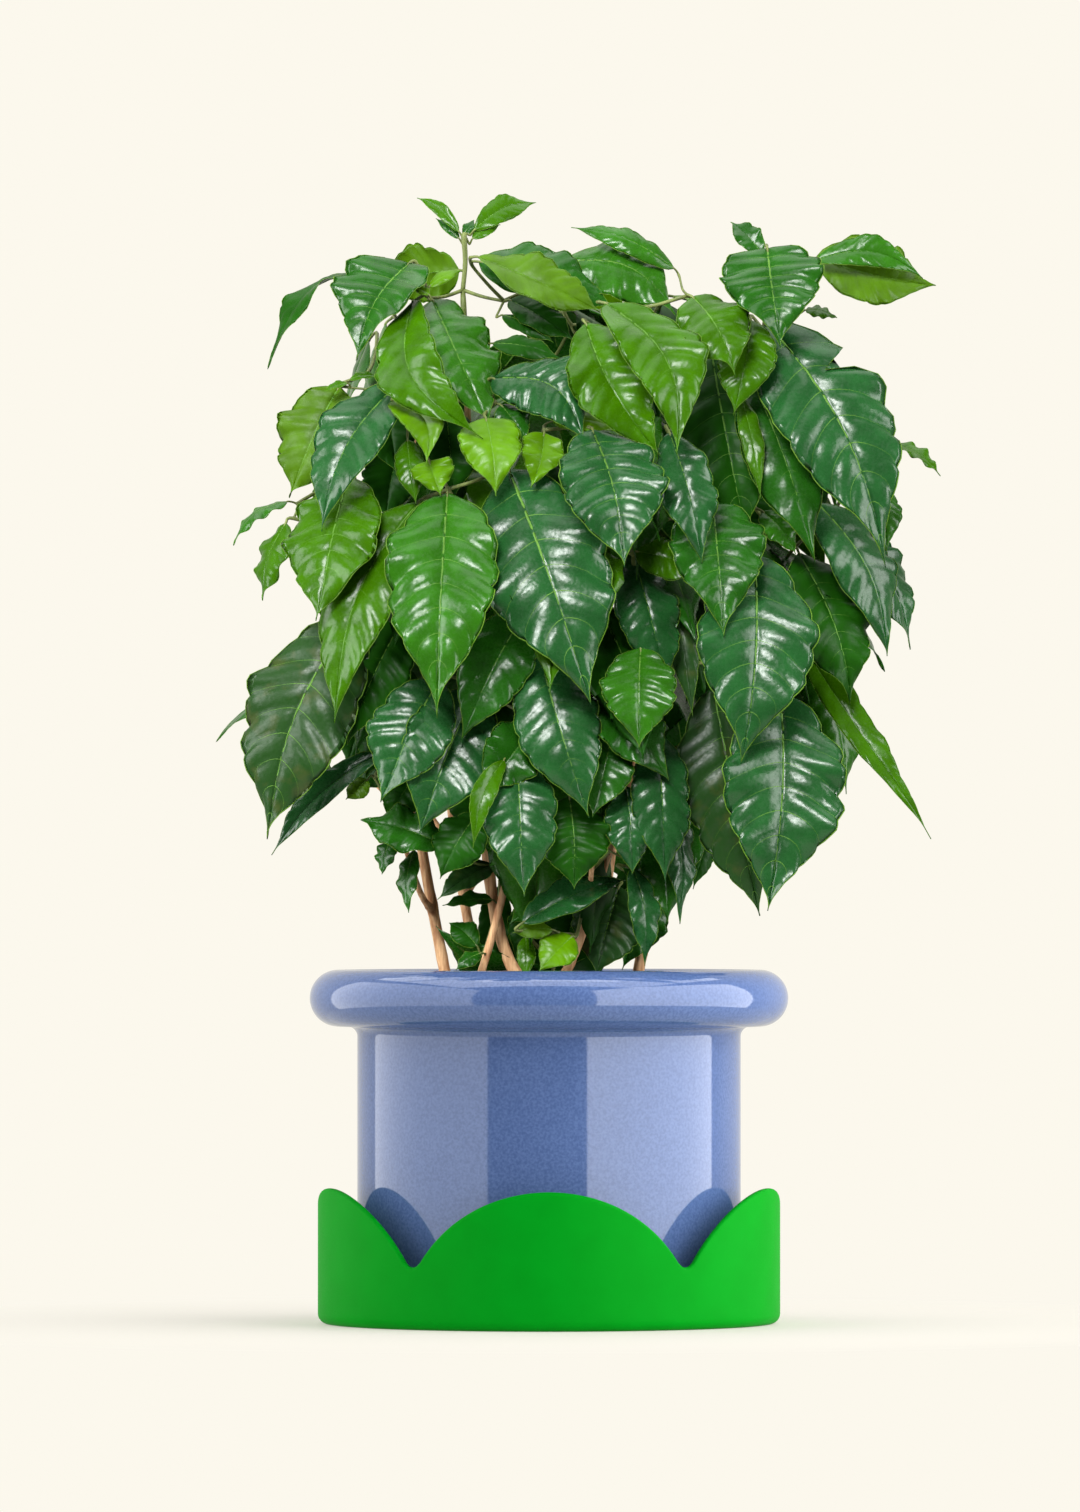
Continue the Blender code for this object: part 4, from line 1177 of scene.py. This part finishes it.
@dataclass
class Foliage:
    """Leaves and twigs that grow on from the limbs: the planting list in front, shells of leaves elsewhere."""

    limbs: Limbs
    foot: float = 0.215
    belly: float = 0.440
    top: float = 0.655
    reach: float = 0.190
    tier_lengths: tuple = (0.75, 1.0, 1.0, 1.0, 0.95, 0.8, 0.62)
    rim_height: float = 0.212
    hem: float = 0.068
    back_hem: float = 0.030
    depth: float = 0.181
    mouth: float = 0.096
    twig_radius: float = 0.0012
    shoot_radius: float = 0.0014
    shape: BladeShape = field(default_factory=BladeShape)
    reliefs: dict = field(default_factory=lambda: dict(zip(Tone, (0.4, 0.7, 0.8, 0.6, 0.85, 0.7, 0.7, 1.0))))
    shells: tuple = ((0.62, 1.0, 13, math.radians(52)), (0.34, 0.76, 8, 0.0), (0.10, 0.45, 3, 0.0))
    fillers: tuple = ((0.50, 0.88, 11, math.radians(60)), (0.24, 0.62, 6, 0.0))
    flanks: tuple = ((0.80, 1.0, 12, math.radians(66)), (0.45, 0.80, 9, math.radians(66)), (0.15, 0.50, 5, 0.0))
    flanks_below: float = 0.030

    def crown_reach(self, height: float) -> float:
        """How far the crown reaches from its middle at a height."""
        half = self.top - self.belly if height > self.belly else self.belly - self.foot
        share = min(1.0, abs(height - self.belly) / half)
        return self.reach * (1.0 - share**2.6) ** 0.5

    def character(self, leaf: Leaf, rng: random.Random) -> Leaf:
        """Gives a leaf its own waves, hook, sway and twist."""
        leaf.wave = leaf.width * rng.uniform(0.05, 0.11)
        leaf.waves = rng.uniform(1.8, 3.6)
        leaf.phase = rng.uniform(0, 2 * math.pi)
        leaf.hook = rng.uniform(-0.03, 0.06)
        leaf.sway += rng.uniform(-0.03, 0.03)
        leaf.fold += rng.uniform(-0.10, 0.25)
        leaf.twist = rng.uniform(-0.35, 0.35)
        leaf.relief = self.reliefs[leaf.tone] * rng.uniform(0.75, 1.4) * min(1.0, leaf.width / 0.034) ** 0.8
        return leaf

    def planted(self, rng: random.Random) -> list[Leaf]:
        """The leaves of the planting list, seen by the camera where the list says.

        A tip's depth follows from the way the blade faces.
        """
        leaves = []
        for plan in (plan for region in PLANTING.values() for plan in region):
            a, b = math.radians(plan.turn), math.radians(plan.lift)
            step = Vector((plan.tip[0] - plan.foot[0], plan.tip[1] - plan.foot[1]))
            depth = step.x * math.tan(a) + step.y * math.tan(b) / math.cos(a)
            depth = max(-0.5 * step.length, min(0.5 * step.length, depth))
            start = Vector((plan.foot[0], -plan.ahead, plan.foot[1])) * MM
            end = Vector((plan.tip[0], -plan.ahead + depth, plan.tip[1])) * MM
            face = facing(plan.turn, plan.lift)
            traits = (plan.tone, plan.sway, plan.arch, plan.fold, plan.taper, plan.tear)
            leaves.append(self.character(Leaf(on_sight(start), on_sight(end), plan.width * MM, face, *traits), rng))
        return leaves

    def shell_leaf(self, azimuth: float, height: float, shares: tuple, length: float, rng: random.Random) -> Leaf:
        """A leaf that hangs outwards on one of the crown's shells, its azimuth counted from the front."""
        foot_share, tip_share = shares
        sway = azimuth + rng.uniform(-0.25, 0.25)
        reach = self.crown_reach(height)
        low = max(self.foot + 0.012, height - length * rng.uniform(0.72, 0.9))
        out = max(0.055, self.crown_reach(low)) * tip_share
        foot = Vector((math.sin(azimuth), -math.cos(azimuth), 0)) * reach * foot_share
        tip = Vector((math.sin(sway), -math.cos(sway), 0)) * max(out, reach * foot_share * 0.9)
        foot.z, tip.z = height, low
        tip = foot + (tip - foot).normalized() * length
        face = facing(math.degrees(azimuth) + rng.uniform(-25, 25), rng.uniform(12, 35))
        width = length * rng.uniform(0.44, 0.54)
        return Leaf(foot, tip, width, face, Tone.DEEP, arch=0.12, hero=False)

    def shell_leaves(self, shells: tuple, rng: random.Random, below: float = 0.0) -> list[Leaf]:
        """Leaves of the crown's sides, back and heart, tier by tier from the crest to the skirt.

        Args:
            shells: For each shell the shares of the crown's reach at its feet and tips, its number of leaves
                in a tier, and how far from the front it begins, in radians.
            rng: Draws each leaf's place and size.
            below: How far the leaves start below the tiers' heights.

        Returns:
            The leaves, not yet cleared of each other.
        """
        leaves = []
        tiers = len(self.tier_lengths)
        drop = (self.top - self.foot - 0.050) / (tiers - 1)
        for tier in range(tiers):
            height = self.top - 0.035 - drop * tier - below
            for foot_share, tip_share, count, sector in shells:
                for k in range(count):
                    azimuth = 2 * math.pi * (k + 0.5 * (tier % 2)) / count + rng.uniform(-0.12, 0.12)
                    azimuth = (azimuth + math.pi) % (2 * math.pi) - math.pi
                    length = rng.uniform(0.100, 0.142) * self.tier_lengths[tier]
                    up = height + rng.uniform(-0.012, 0.012)
                    leaf = self.shell_leaf(azimuth, up, (foot_share, tip_share), length, rng)
                    if abs(azimuth) >= sector and self.may_grow(leaf):
                        leaves.append(leaf)
        return leaves

    def may_grow(self, leaf: Leaf) -> bool:
        """True if a shell leaf ends above the crown's hem and hides none of the gaps in front."""
        reach = math.hypot(leaf.tip.x, leaf.tip.y)
        hem = self.back_hem if leaf.foot.y > 0.02 else self.hem
        if leaf.tip.z < self.foot + hem * min(1.0, max(0.0, (reach - 0.06) / 0.03)):
            return False
        middle = leaf.foot.lerp(leaf.tip, 0.5)
        low, high = leaf.tip.z / MM - 4, leaf.foot.z / MM
        half = 0.4 * leaf.width / MM
        left, right = min(leaf.tip.x, middle.x) / MM - half, max(leaf.tip.x, middle.x) / MM + half
        return not any(left < x1 and right > x0 and low < z1 and high > z0 for x0, z0, x1, z1 in SKY)

    def colour_shell(self, leaves: list[Leaf], rng: random.Random) -> None:
        """Deals the greens out over the shells: fresher near the crest, darker in the heart."""
        for leaf in leaves:
            high = (leaf.foot.z - self.foot) / (self.top - self.foot)
            out = math.hypot(leaf.foot.x, leaf.foot.y) / max(0.05, self.crown_reach(leaf.foot.z))
            draw = rng.random() + 0.35 * (high - 0.5) + 0.5 * (out - 0.55)
            steps = ((0.22, Tone.SHADE), (0.55, Tone.DEEP), (0.82, Tone.MID), (1.0, Tone.FRESH))
            leaf.tone = next((tone for limit, tone in steps if draw < limit), Tone.YOUNG)
            self.character(leaf, rng)

    def test_tree(self, leaf: Leaf) -> BVHTree:
        """A coarse search tree of a blade, to keep leaves out of each other."""
        u, v = np.meshgrid(np.linspace(0.04, 0.96, 7), np.linspace(-0.95, 0.95, 4), indexing="ij")
        points = self.shape.surface(leaf, u, v).reshape(-1, 3)
        faces = [(r * 4 + c, r * 4 + c + 1, r * 4 + c + 5, r * 4 + c + 4) for r in range(6) for c in range(3)]
        return BVHTree.FromPolygons(points.tolist(), faces)

    def fits(self, leaf: Leaf) -> bool:
        """True if the whole blade stays in the plant's depth and above the pot's rim, or inside its mouth."""
        u, v = np.meshgrid(np.linspace(0, 1, 9), np.linspace(-1, 1, 3), indexing="ij")
        points = self.shape.surface(leaf, u, v)
        low = float(points[..., 2].min())
        inside = float(np.hypot(points[..., 0], points[..., 1]).max()) < self.mouth
        back = float(points[..., 1].max())
        return low > self.rim_height + (-0.014 if inside else 0.003) and back < self.depth

    def nudges(self, planted: bool, rng: random.Random) -> list[Vector]:
        """Small moves tried in turn when a leaf cuts another: along the line of sight for a planted leaf."""
        if planted:
            return [Vector((0, step, 0)) * MM for step in (0, -4, 4, -8, 8, -12, 12, 16, -16, 21, 26, 32)]
        return [Vector([rng.uniform(-1, 1) * 2.2 * k for _ in range(3)]) * MM for k in range(9)]

    def place(self) -> list[Leaf]:
        """Places every leaf clear of the others. A planted leaf stays even where it can't be cleared."""
        rng = random.Random(SEED)
        planted = self.planted(rng)
        shell_rng = random.Random(SEED)
        shell = self.shell_leaves(self.shells, shell_rng)
        shell += self.shell_leaves(self.fillers, shell_rng)
        shell += self.shell_leaves(self.flanks, shell_rng, self.flanks_below)
        self.colour_shell(shell, rng)
        placed: list[Leaf] = []
        trees: list[BVHTree] = []
        for leaves, is_planted in ((planted, True), (shell, False)):
            for leaf in leaves:
                for step in self.nudges(is_planted, rng):
                    moved = leaf.moved(step)
                    tree = self.test_tree(moved)
                    if not any(tree.overlap(other) for other in trees) and self.fits(moved):
                        break
                else:
                    moved = leaf
                    tree = self.test_tree(moved)
                    if not is_planted:
                        continue
                placed.append(moved)
                trees.append(tree)
        log.info("%d of %d leaves placed", len(placed), len(planted) + len(shell))
        return placed

    def twig(self, start: Vector, leaf: Leaf, radius: float, batch: Batch) -> list[Vector]:
        """Adds the twig from a fork to a leaf. Returns the places where others may fork from it."""
        line, face = leaf.frame()[:2]
        heading = Vector(self.shape.surface(leaf, 0.06, 0.0) - self.shape.surface(leaf, 0.0, 0.0)).normalized()
        way = leaf.foot - start
        petiole = leaf.foot - heading * min(0.0045, 0.3 * way.length) - Vector(face) * 0.003
        behind = Vector((-face[0], -face[1], 0.2)) * 0.10 * way.length
        sag = Vector((0, 0, 0.28)) * max(0.0, way.length - 0.03)
        middle = start.lerp(petiole, 0.5) + behind - sag
        inside = leaf.foot + Vector(line) * 0.004
        path = smooth_path([start, middle, petiole, leaf.foot, inside], 5)
        points = np.array([tuple(p) for p in path])
        share = np.linspace(0.0, 1.0, len(path))
        radii = radius * (1.0 - 0.45 * share) * (1.0 + 0.35 * np.exp(-(((share - 0.5) / 0.05) ** 2)))
        batch.add(*tube(points, radii, 7))
        return [middle, petiole]

    def grow_twigs(self, leaves: list[Leaf]) -> Batch:
        """Twigs from the nearest fork of the nearest mass to every leaf, in order of distance."""
        batch = Batch()
        roots = self.limbs.roots()
        forks = {}
        for name, (start, heading) in roots.items():
            tip = start + heading * 0.0123
            sleeve = 0.016 if name in SHOOTS else 0.002
            line = np.array([tuple(start - heading * sleeve), tuple(start + heading * 0.005), tuple(tip)])
            batch.add(*tube(line, np.array([1.9 if name in SHOOTS else 1.5, 1.8, 1.4]) * MM, 8))
            forks[name] = [tip]
            if name in SHOOTS:
                end = Vector(SHOOTS[name]) * MM
                path = smooth_path([tip, tip.lerp(end, 0.5) + Vector((0.0012, 0.0, 0.0)), end], 8)
                radii = self.shoot_radius * (1.0 + 0.35 * np.linspace(0.0, 1.0, len(path)) ** 3)
                batch.add(*tube(np.array([tuple(p) for p in path]), radii, 8))
                forks[name] += path[len(path) // 2 :: 4]

        def cost(name: str, leaf: Leaf) -> float:
            way = leaf.foot - roots[name][0]
            return way.length + 0.8 * max(0.0, -way.z)

        rows = [(min(roots, key=lambda name: cost(name, leaf)), leaf) for leaf in leaves]
        rows.sort(key=lambda row: (not row[1].hero, (row[1].foot - roots[row[0]][0]).length))
        for name, leaf in rows:
            fork = min(forks[name], key=lambda point: (point - leaf.foot).length)
            size = 0.7 if leaf.width < 0.02 else 1.0
            forks[name] += self.twig(fork, leaf, self.twig_radius * size, batch)
        return batch

    def build(self) -> list[bpy.types.Object]:
        """Makes the twigs, the leaves of each colour, their ribs and their margins. Returns all the pieces."""
        leaves = self.place()
        batches = {"green_twigs": (self.grow_twigs(leaves), TWIG_SKIN)}
        for tone, finish in LEAF_FINISHES.items():
            batch = Batch()
            for leaf in leaves:
                if leaf.tone is tone:
                    batch.add(*self.shape.blade(leaf))
            batches["foliage_" + tone.value] = (batch, finish)
        ribs, edges = Batch(), Batch()
        for leaf in leaves:
            self.shape.ribs(leaf, ribs)
            if leaf.hero:
                self.shape.edges(leaf, edges)
        batches["leaf_ribs"] = (ribs, RIB_FINISH)
        batches["leaf_margins"] = (edges, EDGE_FINISH)
        nodes = ["leaves_" + name for name in self.limbs.roots()]
        return [
            put_together(batch.piece(name), finish.dress(), nodes)
            for name, (batch, finish) in batches.items()
        ]


class Panel(NamedTuple):
    """A rectangular light that hangs somewhere round the plant."""

    name: str
    place: tuple
    width: float
    tall: float
    radiance: float


@dataclass(frozen=True)
class Softbox:
    """A soft upright studio light beside the camera that covers a span of directions, seen from the plant."""

    name: str
    nearest: float
    furthest: float
    distance: float
    tall: float
    radiance: float

    def panel(self, target: Vector) -> Panel:
        """The light as a panel, its directions counted in degrees from the front towards the right."""
        middle = math.radians((self.nearest + self.furthest) / 2)
        half = math.radians(abs(self.furthest - self.nearest) / 2)
        width = 2 * self.distance * math.tan(half)
        place = target + self.distance * Vector((math.sin(middle), -math.cos(middle), 0.0))
        return Panel(self.name, tuple(place), width, self.tall, self.radiance)


def hang(panel: Panel, target: Vector, lit: bpy.types.Collection) -> None:
    """Hangs a light that faces a target, looks equally bright from everywhere and lights some pieces only.

    Args:
        panel: The light's name, middle, size and radiance, where 1 is the white of the picture.
        target: The point that it faces.
        lit: The pieces that it lights.
    """
    deselect_all()
    bpy.ops.object.light_add(type="AREA", location=panel.place)
    lamp = bpy.context.active_object
    lamp.name = panel.name
    lamp.data.shape = "RECTANGLE"
    lamp.data.size, lamp.data.size_y = panel.width, panel.tall
    lamp.data.energy = AREA_LIGHT_WATTS * panel.radiance * panel.width * panel.tall
    lamp.rotation_euler = (target - Vector(panel.place)).to_track_quat("-Z", "Y").to_euler()
    lamp.light_linking.receiver_collection = lit


@dataclass
class Studio:
    """The pale floor, the soft lights and the camera that looks at the plant from the front."""

    cream: Colour = (0.973, 0.939, 0.847)
    front_glow: float = 0.09
    back_glow: float = 0.85
    floor_tint: Colour = (0.74, 0.714, 0.645)
    floor_reach: float = 0.62
    floor_fade: tuple = (0.16, 0.46)
    floor_glow: float = 0.35
    ceiling_glow: float = 2.8
    pixel: float = 0.0006
    axis_column: float = 549.0
    ground_row: float = 1323.0
    frame_size: tuple = (1080, 1512)
    focal_shares: float = 7.326
    sensor: float = 36.0

    def light(self, crown: list[bpy.types.Object], pot: bpy.types.Object) -> None:
        """Hangs broad softboxes for the pot and the floor, and brighter ones for the plant.

        Args:
            crown: The plant's pieces. Everything else is lit by the broad softboxes.
            pot: The glazed pot, whose rim also mirrors a ceiling.
        """
        plant = bpy.data.collections.new("plant_pieces")
        pottery = bpy.data.collections.new("pottery_and_floor")
        glazed = bpy.data.collections.new("glazed_pieces")
        for obj in bpy.context.scene.objects:
            if obj.type == "MESH":
                (plant if obj in crown else pottery).objects.link(obj)
        glazed.objects.link(pot)
        ceiling = Panel("pot_ceiling", (0.0, 0.0, 2.3), 3.6, 3.0, self.ceiling_glow)
        hang(ceiling, Vector((0.0, 0.0, 0.2)), glazed)
        middle = Vector((0.0, 0.0, 0.36))
        for panel in (
            Softbox("left_softbox", -36.0, -126.0, 1.3, 2.2, 1.9).panel(middle),
            Softbox("right_softbox", 22.0, 112.0, 1.3, 2.2, 3.7).panel(middle),
            Panel("overhead_softbox", (0.0, 0.1, 2.3), 1.6, 1.2, 2.0),
        ):
            hang(panel, middle, pottery)
        for panel in (
            Panel("crown_key", (-0.35, -1.75, 1.42), 0.75, 0.5, 32.5),
            Panel("crown_left", (-1.6, -0.7, 0.75), 0.8, 1.3, 7.2),
            Panel("crown_right", (1.6, -0.7, 0.75), 0.8, 1.3, 6.3),
            Panel("crown_ceiling", (0.0, 0.1, 2.3), 2.2, 2.0, 1.6),
        ):
            hang(panel, Vector((0.0, 0.0, 0.45)), plant)

    def surround(self) -> None:
        """Sets the pale surroundings, which are brighter behind the plant."""
        world = bpy.data.worlds.new("pale_room")
        world.use_nodes = True
        bpy.context.scene.world = world
        nodes, links = world.node_tree.nodes, world.node_tree.links
        room = nodes["Background"]
        room.inputs["Color"].default_value = (*self.cream, 1.0)
        direction = nodes.new("ShaderNodeTexCoord")
        split = nodes.new("ShaderNodeSeparateXYZ")
        depth = nodes.new("ShaderNodeMapRange")
        for name, number in zip(
            ("From Min", "From Max", "To Min", "To Max"), (-0.1, 0.7, self.front_glow, self.back_glow)
        ):
            depth.inputs[name].default_value = number
        links.new(direction.outputs["Generated"], split.inputs["Vector"])
        links.new(split.outputs["Y"], depth.inputs["Value"])
        links.new(depth.outputs["Result"], room.inputs["Strength"])
        seen = nodes.new("ShaderNodeBackground")
        seen.inputs["Color"].default_value = (*self.cream, 1.0)
        path = nodes.new("ShaderNodeLightPath")
        mix = nodes.new("ShaderNodeMixShader")
        links.new(path.outputs["Is Camera Ray"], mix.inputs["Fac"])
        links.new(room.outputs["Background"], mix.inputs[1])
        links.new(seen.outputs["Background"], mix.inputs[2])
        links.new(mix.outputs["Shader"], nodes["World Output"].inputs["Surface"])

    def lay_floor(self) -> None:
        """Lays a pale floor that fades into the surroundings with distance."""
        deselect_all()
        bpy.ops.mesh.primitive_circle_add(vertices=96, radius=self.floor_reach, fill_type="NGON")
        floor = bpy.context.active_object
        floor.name = "studio_floor"
        shader = Shader("pale_floor", self.floor_tint, 0.6)
        shader.set("Specular IOR Level", 0.1)
        glow = shader.nodes.new("ShaderNodeEmission")
        glow.inputs["Color"].default_value = (*self.cream, 1.0)
        reach = shader.nodes.new("ShaderNodeVectorMath")
        reach.operation = "LENGTH"
        shader.links.new(shader.place, reach.inputs[0])
        fade = shader.span(reach.outputs["Value"], *self.floor_fade, self.floor_glow, 1.0)
        mix = shader.nodes.new("ShaderNodeMixShader")
        shader.links.new(fade, mix.inputs["Fac"])
        shader.links.new(shader.surface.outputs["BSDF"], mix.inputs[1])
        shader.links.new(glow.outputs["Emission"], mix.inputs[2])
        shader.links.new(mix.outputs["Shader"], shader.nodes["Material Output"].inputs["Surface"])
        floor.data.materials.append(shader.material)

    def set_camera(self) -> None:
        """Sets a camera with the photograph's frame, at the height of the pot's rim and tilted up a little."""
        deselect_all()
        across = (self.frame_size[0] / 2 - self.axis_column) * self.pixel
        up = (self.ground_row - self.frame_size[1] / 2) * self.pixel
        tilt = math.atan2(up - EYE.z, -EYE.y)
        place = (across, EYE.y, EYE.z)
        bpy.ops.object.camera_add(location=place, rotation=(math.radians(90) + tilt, 0.0, 0.0))
        camera = bpy.context.active_object
        camera.data.sensor_width = self.sensor
        camera.data.lens = self.focal_shares * self.sensor
        camera.data.clip_end = 200.0
        bpy.context.scene.camera = camera

    def build(self) -> None:
        """Sets up the camera, the floor and the surroundings."""
        self.set_camera()
        self.surround()
        self.lay_floor()
        bpy.context.scene.view_settings.view_transform = "Standard"


def main() -> None:
    """Loads the frame, builds the pieces in order and hangs the lights."""
    logging.basicConfig(level=logging.INFO, format="%(message)s")
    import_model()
    studio = Studio()
    studio.build()
    pot = Pot().build()
    Saucer().build()
    Soil().build()
    limbs = Limbs()
    plant = limbs.build()
    plant += Foliage(limbs).build()
    studio.light(plant, pot)


if __name__ == "__main__":
    main()
